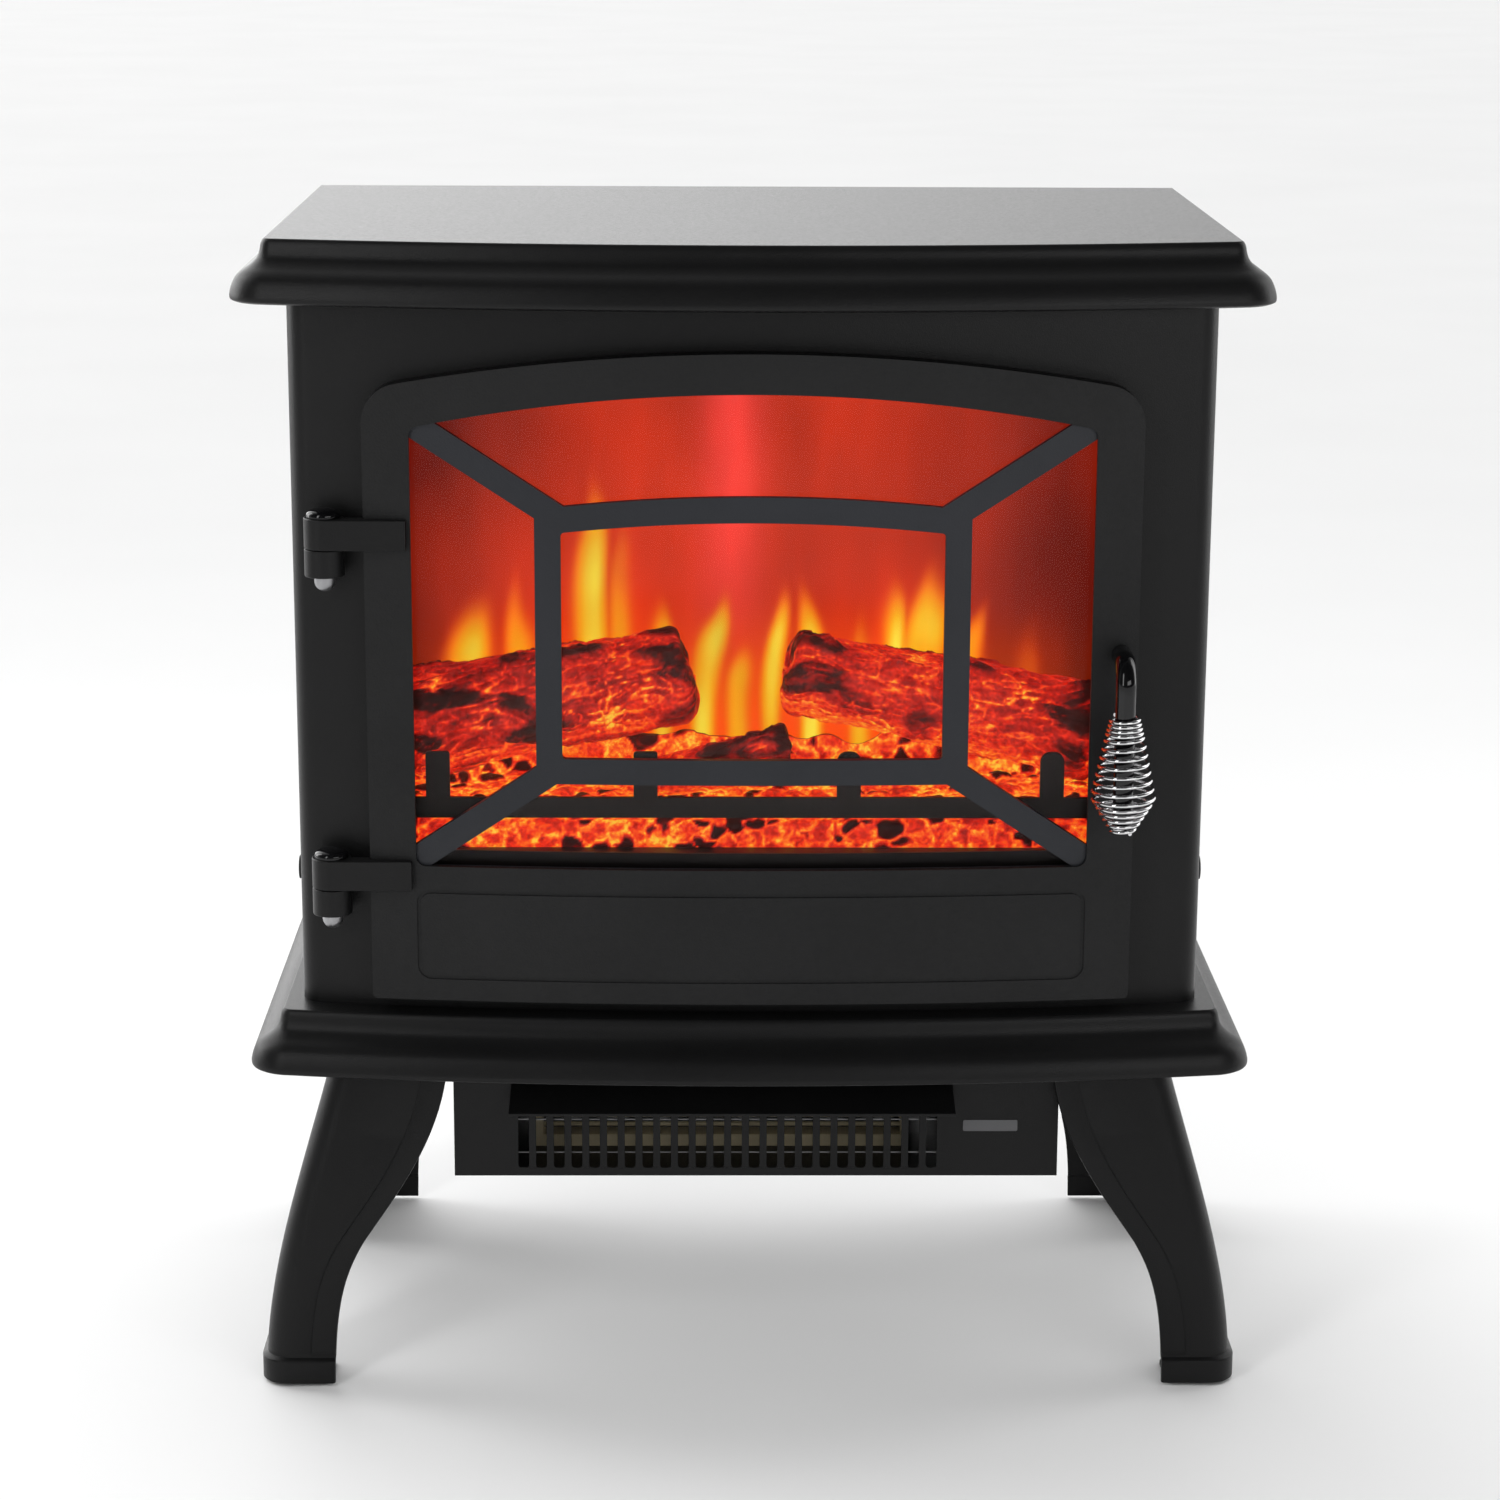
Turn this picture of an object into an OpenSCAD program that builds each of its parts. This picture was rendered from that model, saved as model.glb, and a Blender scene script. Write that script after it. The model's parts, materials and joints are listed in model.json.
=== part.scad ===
// Free-standing electric stove heater: steel cabinet with ogee-edged top and base, four
// splayed corner legs, an arched glazed door with a coil handle, a log and flame display,
// and a fan heater slung under the base. Millimetres, +Z up, front towards -Y.

/* [Cabinet] */
// Widest part of the top and base mouldings
overall_w = 505; // [502:1:508]
// Front of the handle to the back edge of the mouldings
overall_d = 324; // [322:1:326]
// Floor to the top surface
overall_h = 590; // [588:1:592]
// Width of the sheet steel cabinet
cabinet_w = 454; // [452:1:456]
// Sheet steel thickness
sheet = 1.2; // [1:0.1:1.4]

/* [Mouldings] */
// Height of the top and base mouldings
moulding_h = 30; // [30:0.5:31]
// Distance from the moulding's widest edge in to its flat face
moulding_in = 18; // [17.5:0.5:18.5]
// Corner radius of the mouldings at their widest edge
moulding_corner = 22; // [21:1:24]
// Sheet thickness of the pressed mouldings
moulding_t = 1.5; // [1.3:0.1:1.6]
// Height of the base's flat face above the floor
base_z = 204; // [203.5:0.5:204.5]

/* [Door] */
// Radius of the door's bowed front face, seen from above
door_r = 1620; // [1600:10:1640]
// Half the width of the door
door_half = 189.5; // [189:0.5:190]
// Bottom edge of the door above the floor
door_z0 = 211.5; // [210.5:0.5:212]
// Crown of the door's arched top above the floor
door_crown = 537.5; // [537:0.5:538]
// Half the width of the window in the door
window_half = 166.5; // [166:0.5:167]
// Bottom edge of the window above the floor
window_z0 = 281; // [280.5:0.5:281.5]
// Crown of the window's arch above the floor
window_crown = 518; // [517.5:0.5:518.5]
// Width of the bars across the window
bar_w = 12.8; // [12:0.2:14]

/* [Handle] */
// Diameter of the bent handle rod
rod_d = 10; // [9:0.5:10]
// Widest outside radius of the coil grip
coil_r = 16.3; // [16:0.1:17]
// Wire diameter of the coil grip
coil_wire = 2.2; // [2:0.1:2.4]

/* [Legs] */
// Wall thickness of the moulded legs
leg_t = 3; // [2.5:0.5:3]
// Radius of a leg's rounded outer corner
leg_corner = 14; // [12:1:15]

/* [Heater] */
// Width of the heater housing under the base
housing_w = 311; // [309:1:312]
// Number of outlet slots
slot_count = 24; // [20:1:24]
// Width of each outlet slot
slot_w = 5.4; // [5:0.1:5.6]

/* [Hidden] */
$fn = 48;
big_fn = 256;
black = [0.1, 0.1, 0.1];
steel = [0.6, 0.6, 0.62];

// Driving planes, front to back
back_y = overall_d / 2;
handle_y = coil_r - overall_d / 2;
corner_y = back_y - 290;
door_y = corner_y - 3;
arc_cy = door_y + door_r;
cabinet_r = door_r - 12.5;
cabinet_corner = 12;
cabinet_back = back_y - 12;
base_r = door_r + 18.5;
top_r = 1150;
top_bow = 26;
flat_under_top = overall_h - moulding_t;
deck_z = base_z - moulding_t;

// Door layers, as radii from the centre of the bow
skin_r = door_r - 3;
rim_r = cabinet_r + 1.2;
rim_w = 2.2;
grille_back_r = skin_r - 3;
glass_back_r = grille_back_r - 3;
clip_back_r = glass_back_r - 1.4;
bar_front_r = door_r - 2;
grille_out = [106.3, 324, 468];
groove_w = 2;
panel_half = 166.5;
panel_z = [222.5, 269];
clip_spots = [[-180.5, 300], [180.5, 300], [-180.5, 470], [180.5, 470], [-100, 265.5], [100, 265.5]];

// Hinges
hinge_x = -209;
hinge_y = corner_y + 12;
knuckle_r = 9.8;
leaf_h = 15.4;
bracket_h = 13.6;
hinge_zs = [268.6, 440.2];
pin_r = 3;
bore_r = 3.05;

// Handle
handle_x = 181;
handle_z = 389;
bend_r = 12;
coil_z = [303, 322.5, 364];
coil_end_r = [5.9, 8];

// Firebox
floor_z = 281;
fire_half = 190;
roof_z = 531;
screen_y = 2;
ember_y = [-90.5, -10];
bank_z = 329;
rotor_y = 62;
rotor_z = 318;
rotor_r = 22;

// Heater
housing_y = [corner_y + 35, 70];
housing_z = 106.5;
slot_x = [-119, 96.5];
slot_z = [111, 143];
deflector_x = [-123.5, 105.5];
housing_x = 3.5;
label_x = [110, 138];
wheel_y = 20;
wheel_z = 150;
wheel_r = 24;
wheel_x = [-118, 88];

// Controls
tray_half = 121;
tray_z = [222, 266];
tray_y = -102.5;
control_z = 244;
rocker_x = [-92, -62, -32];
knob_x = 62;
knob_low = -135;

// Legs
leg_z0 = 2;
toe_z = 15;
leg_top = deck_z - 3;

// ---------------------------------------------------------------- outlines

function arc_pts(cx, cy, r, a0, a1, n) =
    [for (i = [0:n]) let (a = a0 + (a1 - a0) * i / n) [cx + r * cos(a), cy + r * sin(a)]];

// Straight sides, an arched top of radius ar reaching crown, and rounded corners
function arch_outline(half, z0, crown, ar, rc, rf) =
    let (cz = crown - ar,
         kz = cz + sqrt(pow(ar - rc, 2) - pow(half - rc, 2)),
         phi = atan2(kz - cz, half - rc))
    concat(arc_pts(half - rf, z0 + rf, rf, -90, 0, 5),
           arc_pts(half - rc, kz, rc, 0, phi, 7),
           [for (i = [1:23]) let (a = phi + (180 - 2 * phi) * i / 24) [ar * cos(a), cz + ar * sin(a)]],
           arc_pts(rc - half, kz, rc, 180 - phi, 180, 7),
           arc_pts(rf - half, z0 + rf, rf, 180, 270, 5));

// Plan with a bowed front, rounded front corners and a straight back
function bowed_plan(half, r, cy, rc, back, n) =
    let (cx = half - rc,
         ky = cy - sqrt(pow(r - rc, 2) - cx * cx),
         phi = atan2(cy - ky, cx))
    concat(arc_pts(cx, ky, rc, 0, -phi, 5),
           [for (i = [1:n - 1]) let (a = -phi - (180 - 2 * phi) * i / n) [r * cos(a), cy + r * sin(a)]],
           arc_pts(-cx, ky, rc, phi - 180, -180, 5),
           [[-half, back], [half, back]]);

function bezier(p, t) =
    pow(1 - t, 3) * p[0] + 3 * t * pow(1 - t, 2) * p[1] + 3 * t * t * (1 - t) * p[2] + pow(t, 3) * p[3];

// Distance in Y of the bowed surface of radius r at x
function bow_y(r, x) = arc_cy - sqrt(r * r - x * x);

// Prism of an outline drawn in X and Z, from y0 back to y1
module slab(y0, y1) {
    translate([0, y1, 0]) rotate([90, 0, 0]) linear_extrude(height = y1 - y0) children();
}

// Everything behind the bowed surface of radius r
module bow_solid(r) {
    translate([0, arc_cy, 0]) cylinder(r = r, h = overall_h, $fn = big_fn);
}

// A bowed plate between radii r_in and r_out with the outline of its child
module bowed_plate(r_in, r_out) {
    difference() {
        intersection() {
            slab(corner_y - 40, corner_y + 60) children();
            bow_solid(r_out);
        }
        bow_solid(r_in);
    }
}

module rounded_rect(x0, x1, z0, z1, r) {
    polygon(concat(arc_pts(x1 - r, z0 + r, r, -90, 0, 5), arc_pts(x1 - r, z1 - r, r, 0, 90, 5),
                   arc_pts(x0 + r, z1 - r, r, 90, 180, 5), arc_pts(x0 + r, z0 + r, r, 180, 270, 5)));
}

// Cylinder along Y from y0 to y1
module rod_y(x, z, r, y0, y1) {
    translate([x, y1, z]) rotate([90, 0, 0]) cylinder(r = r, h = y1 - y0);
}

// Cylinder along X from x0 to x1
module rod_x(y, z, r, x0, x1) {
    translate([x0, y, z]) rotate([0, 90, 0]) cylinder(r = r, h = x1 - x0);
}

// Cylinder along Z from z0 to z1
module rod_z(x, y, r, z0, z1) {
    translate([x, y, z0]) cylinder(r = r, h = z1 - z0);
}

module block(lo, hi) {
    translate(lo) cube(hi - lo);
}

module both_sides() {
    children();
    mirror([1, 0, 0]) children();
}

// Closed skin through a stack of rings that all have the same number of points. The ends are
// flat polygons, or strips of quads where a ring folds back along itself.
module ring_skin(rings, strip_ends) {
    m = len(rings);
    k = len(rings[0]);
    e = (m - 1) * k;
    quads = [for (i = [0:m - 2]) for (j = [0:k - 1])
        [i * k + j, (i + 1) * k + j, (i + 1) * k + (j + 1) % k, i * k + (j + 1) % k]];
    strips = [for (j = [0:k / 2 - 2]) each [[j, j + 1, k - 2 - j, k - 1 - j],
                                            [e + k - 1 - j, e + k - 2 - j, e + j + 1, e + j]]];
    flats = [[for (j = [0:k - 1]) j], [for (j = [k - 1:-1:0]) e + j]];
    polyhedron(points = [for (ring = rings) each ring],
               faces = concat(quads, strip_ends ? strips : flats), convexity = 6);
}

// ---------------------------------------------------------------- mouldings

// Ogee profile, from the flat face out and down to the lip: [inset from the widest edge, drop]
ogee = [[moulding_in - 0.5, 0], [moulding_in - 1.5, 0.8], [moulding_in - 2.4, 2.8],
    [moulding_in - 3.1, 6.2], [moulding_in - 4.7, 9.6], [9.8, 12.8], [6, 15.3], [3, 18.3],
    [1.1, 22.3], [0.2, 25.6], [0, 27.4], [0.5, 29], [3, moulding_h]];

// Unit direction into the sheet at point i of the profile
function ogee_normal(i) =
    let (a = ogee[max(i - 1, 0)], b = ogee[min(i + 1, len(ogee) - 1)], d = (b - a) / norm(b - a))
    [d[1], -d[0]];

// The inner skin is the outer one moved in by the sheet's thickness
ogee_inner = [for (i = [len(ogee) - 1:-1:0]) let (p = ogee[i], n = ogee_normal(i))
    i == len(ogee) - 1 ? [p[0] + moulding_t, p[1]] :
    i == 0 ? [p[0] + moulding_t, moulding_t] : [p[0] + moulding_t * n[0], p[1] + moulding_t * n[1]]];

function moulding_ring(r, cy, p, back, z) =
    [for (q = bowed_plan(overall_w / 2 - p[0], r - p[0], cy, max(moulding_corner - p[0], 2), back, 18))
        [q[0], q[1], z - p[1]]];

// Pressed sheet moulding whose flat face is at z, drawn as one closed skin
module moulding(r, cy, z) {
    ring_skin(concat([for (p = ogee) moulding_ring(r, cy, p, back_y, z)],
                     [for (p = ogee_inner) moulding_ring(r, cy, p, back_y - moulding_t, z)]), false);
}

module top_cover() {
    color(black) moulding(top_r, corner_y - top_bow + top_r, overall_h);
}

leg_screw_spots = [for (sx = [-1, 1]) for (p = [[172, corner_y + 52], [196, corner_y + 70],
    [172, back_y - 52], [196, back_y - 70]]) [sx * p[0], p[1]]];

module base_cover() {
    color(black) difference() {
        moulding(base_r, arc_cy, base_z);
        for (p = leg_screw_spots) rod_z(p[0], p[1], 2.6, deck_z - 1, base_z + 1);
    }
}

// ---------------------------------------------------------------- cabinet

module cabinet_plan(inset) {
    polygon(bowed_plan(cabinet_w / 2 - inset, cabinet_r - inset, arc_cy, cabinet_corner - inset,
                       cabinet_back - inset, 32));
}

rear_screw_spots = [for (sx = [-1, 1]) for (z = [225, 340, 455, 570]) [sx * (cabinet_w / 2 - 7), z]];
side_screw = [corner_y + 50, 268];
opening_z0 = 286.5;

module cabinet_shell() {
    color(black) difference() {
        translate([0, 0, base_z]) linear_extrude(height = flat_under_top - base_z) difference() {
            cabinet_plan(0);
            cabinet_plan(sheet);
            translate([-cabinet_w / 2 + 14, cabinet_back - 5]) square([cabinet_w - 28, 10]);
        }
        slab(corner_y - 10, corner_y + 50)
            polygon(arch_outline(176, opening_z0, 524, 860, 12, 5));
        slab(corner_y - 10, corner_y + 50)
            rounded_rect(-tray_half + sheet, tray_half - sheet, tray_z[0] + sheet, tray_z[1] - sheet, 4);
        for (p = rear_screw_spots) rod_y(p[0], p[1], 1.75, cabinet_back - 5, cabinet_back + 5);
        rod_x(side_screw[0], side_screw[1], 2.05, -cabinet_w, cabinet_w);
    }
}

module side_screws() {
    color([0.2, 0.2, 0.2]) both_sides() {
        rod_x(side_screw[0], side_screw[1], 2, cabinet_w / 2 - 8, cabinet_w / 2);
        difference() {
            rod_x(side_screw[0], side_screw[1], 6, cabinet_w / 2, cabinet_w / 2 + 2.2);
            for (a = [0, 90]) translate([cabinet_w / 2 + 2.2, side_screw[0], side_screw[1]])
                rotate([a, 0, 0]) cube([2, 5, 1], center = true);
        }
    }
}

gland = [170, 235];

module rear_panel() {
    color(black) difference() {
        block([1 - cabinet_w / 2, cabinet_back, base_z + 2],
              [cabinet_w / 2 - 1, cabinet_back + sheet, overall_h - 4]);
        for (p = rear_screw_spots) rod_y(p[0], p[1], 1.75, cabinet_back - 5, cabinet_back + 5);
        for (x = [-130:52:130]) for (i = [0:7])
            block([x - 20, cabinet_back - 5, 480 + 9 * i], [x + 20, cabinet_back + 5, 484 + 9 * i]);
        for (x = [-130:52:130]) for (i = [0:4])
            block([x - 20, cabinet_back - 5, 300 + 9 * i], [x + 20, cabinet_back + 5, 304 + 9 * i]);
        rod_y(gland[0], gland[1], 6.5, cabinet_back - 5, cabinet_back + 5);
    }
}

module rear_panel_screws() {
    color([0.2, 0.2, 0.2]) for (p = rear_screw_spots) {
        rod_y(p[0], p[1], 1.7, cabinet_back - 6, cabinet_back + sheet);
        difference() {
            rod_y(p[0], p[1], 3.6, cabinet_back + sheet, cabinet_back + sheet + 2);
            translate([p[0], cabinet_back + sheet + 2, p[1]]) cube([4, 2, 0.9], center = true);
            translate([p[0], cabinet_back + sheet + 2, p[1]]) cube([0.9, 2, 4], center = true);
        }
    }
}

// Flanged bush that the supply cable leaves through, with its lock nut inside the panel
module cable_gland() {
    color([0.08, 0.08, 0.08]) difference() {
        union() {
            rod_y(gland[0], gland[1], 6.4, cabinet_back - 8, cabinet_back + sheet);
            rod_y(gland[0], gland[1], 10, cabinet_back + sheet, cabinet_back + sheet + 3);
            rod_y(gland[0], gland[1], 7.5, cabinet_back + sheet + 3, cabinet_back + 10);
            slab(cabinet_back - 6, cabinet_back) translate(gland) circle(r = 10, $fn = 6);
        }
        rod_y(gland[0], gland[1], 4, cabinet_back - 10, cabinet_back + 12);
    }
}

// ---------------------------------------------------------------- legs

leg_outer = [[249.5, 18], [246, 62], [226, 112], [212.5, 177]];
leg_front = [[12, 18], [13, 62], [24, 112], [28, 177]];
leg_knee = [[213.5, leg_z0], [213, 40], [209, 58], [198, 76.5]];
leg_thigh = [[198, 76.5], [184, 98], [158, 128], [154.5, 168]];
leg_steps = 10;

// Height, inner edge, outer edge and front face of the leg at step i
function leg_row(i) =
    let (low = i < leg_steps, t = low ? i / leg_steps : (i - leg_steps) / leg_steps,
         inner = bezier(low ? leg_knee : leg_thigh, t), z = inner[1],
         s = max(0, min(1, (z - 18) / 159)), u = s - 0.06 * sin(180 * s))
    [z, inner[0], bezier(leg_outer, s)[0] + (z < toe_z ? 2.5 : 0),
     bezier(leg_front, u)[0] - (z < toe_z ? 2 : 0)];

leg_rows = concat([for (i = [0:2 * leg_steps]) leg_row(i)], [[leg_top + 3, 154.5, 211, 28.5]]);

// L-shaped section: front face, rounded corner, side face, then back inside the wall
function leg_section(row, lift) =
    let (z = row[0], xi = row[1] - lift, xo = row[2], yf = row[3], yb = yf + xo - xi, rc = leg_corner,
         ri = rc - leg_t)
    [for (p = concat([[xi, yf]], arc_pts(xo - rc, yf + rc, rc, -90, 0, 6), [[xo, yb], [xo - leg_t, yb]],
                     arc_pts(xo - rc, yf + rc, ri, 0, -90, 6), [[xi, yf + leg_t]])) [p[0], p[1], z]];

module leg(foot_lift) {
    n = len(leg_rows) - 1;
    difference() {
        union() {
            ring_skin([for (i = [0:n]) leg_section(leg_rows[i], foot_lift * min(1, (n - i) / 15))], true);
            block([leg_rows[0][1] - foot_lift + 1, 14, leg_z0], [leg_rows[0][2] - leg_t, 44, leg_z0 + 3]);
            block([161, 30, leg_top], [209, 84, deck_z]);
        }
        for (p = [[172, 52], [196, 70]]) rod_z(p[0], p[1], 2.55, leg_top - 1, deck_z + 1);
    }
}

module front_leg() {
    translate([0, corner_y, 0]) leg(0);
}

module rear_leg() {
    translate([0, back_y, 0]) mirror([0, 1, 0]) leg(22.5);
}

module leg_front_left() {
    color(black) mirror([1, 0, 0]) front_leg();
}

module leg_front_right() {
    color(black) front_leg();
}

module leg_rear_left() {
    color(black) mirror([1, 0, 0]) rear_leg();
}

module leg_rear_right() {
    color(black) rear_leg();
}

pad_x = [216, 248];
pad_y = [15, 43];

module foot_pads() {
    color([0.05, 0.05, 0.05]) both_sides() for (y = [corner_y + pad_y[0], back_y - pad_y[1]])
        translate([0, y, 0]) linear_extrude(height = leg_z0)
            rounded_rect(pad_x[0], pad_x[1], 0, pad_y[1] - pad_y[0], 5);
}

module leg_screws() {
    color(steel) for (p = leg_screw_spots) {
        rod_z(p[0], p[1], 2.5, leg_top, base_z + 4);
        translate([p[0], p[1], leg_top - 3.2]) cylinder(r = 5, h = 3.2, $fn = 6);
    }
}

// ---------------------------------------------------------------- door

function door_edge(inset) = arch_outline(door_half - inset, door_z0 + inset, door_crown - inset,
                                         945 - inset, 20 - inset, 2.5);
function window_edge(grow) = arch_outline(window_half + grow, window_z0 - grow, window_crown + grow,
                                          790 + grow, 5 + grow, 5 + grow);

module door_frame() {
    color([0.12, 0.12, 0.12]) difference() {
        union() {
            bowed_plate(skin_r, door_r) difference() {
                polygon(door_edge(0));
                polygon(window_edge(0));
            }
            bowed_plate(rim_r, skin_r) difference() {
                polygon(door_edge(0));
                polygon(door_edge(rim_w));
            }
            for (p = clip_spots) bowed_plate(glass_back_r, skin_r) translate(p) circle(r = 4);
        }
        bowed_plate(door_r - 0.8, door_r + 1) difference() {
            rounded_rect(-panel_half, panel_half, panel_z[0], panel_z[1], 7);
            rounded_rect(-panel_half + groove_w, panel_half - groove_w, panel_z[0] + groove_w,
                         panel_z[1] - groove_w, 5);
        }
        for (p = clip_spots) rod_y(p[0], p[1], 1.5, bow_y(skin_r, p[0]) + 0.5, corner_y + 50);
        rod_y(handle_x, handle_z, bore_r, corner_y - 20, corner_y + 30);
    }
}

// Bars of the window: a ring with an arched top, and a diagonal out to each corner
module bar(a, b, w) {
    d = (b - a) / norm(b - a);
    n = [-d[1], d[0]] * w / 2;
    polygon([a + n, a - n, b - n, b + n]);
}

module grille_bars() {
    difference() {
        polygon(arch_outline(grille_out[0], grille_out[1], grille_out[2], 800, 3, 3));
        polygon(arch_outline(grille_out[0] - bar_w, grille_out[1] + bar_w, grille_out[2] - bar_w,
                             800, 2, 2));
    }
    for (sx = [-1, 1]) {
        bar([sx * 94.3, 456.7], [sx * 172, 506.5], bar_w);
        bar([sx * 94.4, 333], [sx * 172, 280], bar_w);
    }
}

module window_grille() {
    color([0.16, 0.18, 0.21]) {
        bowed_plate(grille_back_r, bar_front_r) intersection() {
            grille_bars();
            polygon(window_edge(0));
        }
        bowed_plate(grille_back_r, skin_r) difference() {
            polygon(window_edge(7.5));
            difference() {
                polygon(window_edge(0));
                grille_bars();
            }
        }
    }
}

module door_glass() {
    color([0.3, 0.2, 0.2, 0.4]) bowed_plate(glass_back_r, grille_back_r) polygon(window_edge(8));
}

// Each clip laps the glass by a few millimetres and is screwed to its boss
module glass_clips() {
    color(steel) for (p = clip_spots) {
        side = abs(p[0]) > 150;
        x0 = side ? (p[0] > 0 ? p[0] - 10 : p[0] - 5) : p[0] - 6;
        x1 = side ? (p[0] > 0 ? p[0] + 5 : p[0] + 10) : p[0] + 6;
        bowed_plate(clip_back_r, glass_back_r) difference() {
            rounded_rect(x0, x1, side ? p[1] - 6 : p[1] - 4.5, side ? p[1] + 6 : p[1] + 11, 2);
            translate(p) circle(r = 1.5);
        }
    }
}

module clip_screws() {
    color(steel) for (p = clip_spots) {
        y = bow_y(clip_back_r, abs(p[0]) + 2.8);
        rod_y(p[0], p[1], 1.45, bow_y(skin_r, p[0]) + 1, y);
        rod_y(p[0], p[1], 2.8, y, y + 1.4);
    }
}

strap_end = -168.5;

// Knuckle and strap arm that lies over the door's stile
module hinge_leaf(z) {
    difference() {
        union() {
            rod_z(hinge_x, hinge_y, knuckle_r, z + 0.2, z + leaf_h);
            difference() {
                block([hinge_x, hinge_y - knuckle_r, z + 0.2], [strap_end, hinge_y + 4, z + leaf_h]);
                bow_solid(door_r);
            }
            block([hinge_x, hinge_y - knuckle_r, z + 0.2],
                  [-door_half, hinge_y - knuckle_r + 9, z + leaf_h]);
        }
        rod_z(hinge_x, hinge_y, bore_r, z - 1, z + leaf_h + 1);
    }
}

// Knuckle with a foot that is riveted to the cabinet's face
module hinge_bracket(z) {
    difference() {
        union() {
            rod_z(hinge_x, hinge_y, knuckle_r, z - bracket_h, z);
            block([hinge_x - 7.5, hinge_y, z - bracket_h], [hinge_x + 8.5, hinge_y + 20, z]);
        }
        bow_solid(cabinet_r);
        rod_z(hinge_x, hinge_y, bore_r, z - bracket_h - 1, z + 1);
    }
}

module hinge_leaf_upper() {
    color(black) hinge_leaf(hinge_zs[1]);
}

module hinge_leaf_lower() {
    color(black) hinge_leaf(hinge_zs[0]);
}

module hinge_bracket_upper() {
    color(black) hinge_bracket(hinge_zs[1]);
}

module hinge_bracket_lower() {
    color(black) hinge_bracket(hinge_zs[0]);
}

module hinge_pins() {
    color([0.04, 0.04, 0.04]) for (z = hinge_zs) {
        rod_z(hinge_x, hinge_y, pin_r, z - bracket_h - 4, z + leaf_h + 0.2);
        translate([hinge_x, hinge_y, z + leaf_h + 0.2]) rotate_extrude()
            polygon(concat([[0, 0]], [[8.4, 0]], [for (a = [0:15:90]) [8.4 * cos(a), 1.2 + 3.2 * sin(a)]]));
    }
}

module hinge_pin_nuts() {
    color([0.45, 0.45, 0.46]) for (z = hinge_zs) translate([hinge_x, hinge_y, z - bracket_h])
        difference() {
            rotate_extrude() polygon(concat([[0, 0]],
                [for (a = [90:-15:0]) [5.2 * cos(a), -2.6 - 5.2 * sin(a)]], [[5.2, 0]]));
            rod_z(0, 0, pin_r, -4.2, 1);
        }
}

// ---------------------------------------------------------------- handle

module handle_rod() {
    r = rod_d / 2;
    color([0.03, 0.03, 0.03]) {
        rod_y(handle_x, handle_z, r, handle_y + bend_r, bow_y(door_r, handle_x - r) - 0.3);
        rod_y(handle_x, handle_z, pin_r, handle_y + bend_r, corner_y + 15.5);
        translate([handle_x, handle_y + bend_r, handle_z - bend_r]) rotate([90, 0, -90])
            rotate_extrude(angle = 90) translate([bend_r, 0]) circle(r = r);
        rod_z(handle_x, handle_y, r, coil_z[0] + 5, handle_z - bend_r);
    }
}

// Envelope of the spring grip, gripping the rod at its top
module handle_coil() {
    outer = [[coil_end_r[0], coil_z[0]], [coil_r, coil_z[1]], [coil_end_r[1], coil_z[2]]];
    inner = [[rod_d / 2, coil_z[2]], [coil_r - coil_wire, coil_z[1]], [coil_end_r[0], coil_z[0] + coil_wire],
             [0, coil_z[0] + coil_wire], [0, coil_z[0]]];
    color([0.75, 0.75, 0.77]) translate([handle_x, handle_y, 0])
        rotate_extrude() polygon(concat(outer, inner));
}

module handle_nut() {
    y = bow_y(skin_r, handle_x + 6) + 0.3;
    color(steel) slab(y, y + 4) translate([handle_x, handle_z]) difference() {
        circle(r = 5.4, $fn = 6);
        circle(r = pin_r);
    }
}

catch_z = [415, 445];

module door_striker() {
    color(steel) bowed_plate(skin_r - 2, skin_r) rounded_rect(175, 186, catch_z[0], catch_z[1], 1);
}

module magnet_catch() {
    color([0.15, 0.15, 0.15]) bowed_plate(cabinet_r, skin_r - 2.4)
        rounded_rect(177, 185, catch_z[0] + 2, catch_z[1] - 2, 1);
}

// ---------------------------------------------------------------- firebox

module firebox_floor() {
    color(black) intersection() {
        block([-fire_half, corner_y, floor_z - sheet], [fire_half, 120, floor_z]);
        bow_solid(cabinet_r - sheet);
    }
}

// Two sides and a roof of thin sheet, from the cabinet's face back to the flame screen
module firebox_liner() {
    color(black) intersection() {
        slab(corner_y, screen_y) difference() {
            translate([-fire_half, floor_z]) square([2 * fire_half, roof_z - floor_z]);
            translate([sheet - fire_half, floor_z - 1])
                square([2 * (fire_half - sheet), roof_z - floor_z + 1 - sheet]);
        }
        bow_solid(cabinet_r - sheet);
    }
}

module flame_screen() {
    color([0.9, 0.35, 0.1, 0.6])
        block([-fire_half, screen_y, floor_z], [fire_half, screen_y + 3, roof_z]);
}

mask_y = 22;
flame_x = [-150, -100, -55, -10, 35, 85, 140];
flame_h = [95, 140, 110, 160, 120, 150, 90];

// Sheet pierced with flame shapes that the turning rotor shines through
module flame_mask() {
    color(steel) slab(mask_y, mask_y + 1) difference() {
        translate([-fire_half + 5, floor_z]) square([2 * fire_half - 10, 240]);
        for (i = [0:6]) translate([flame_x[i], floor_z + 50])
            polygon([for (side = [1, -1]) for (u = [0:12])
                let (t = side > 0 ? u : 12 - u, w = 14 * sin(15 * t) + 1)
                [side * w + 8 * sin(30 * t), flame_h[i] * t / 12]]);
    }
}

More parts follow.
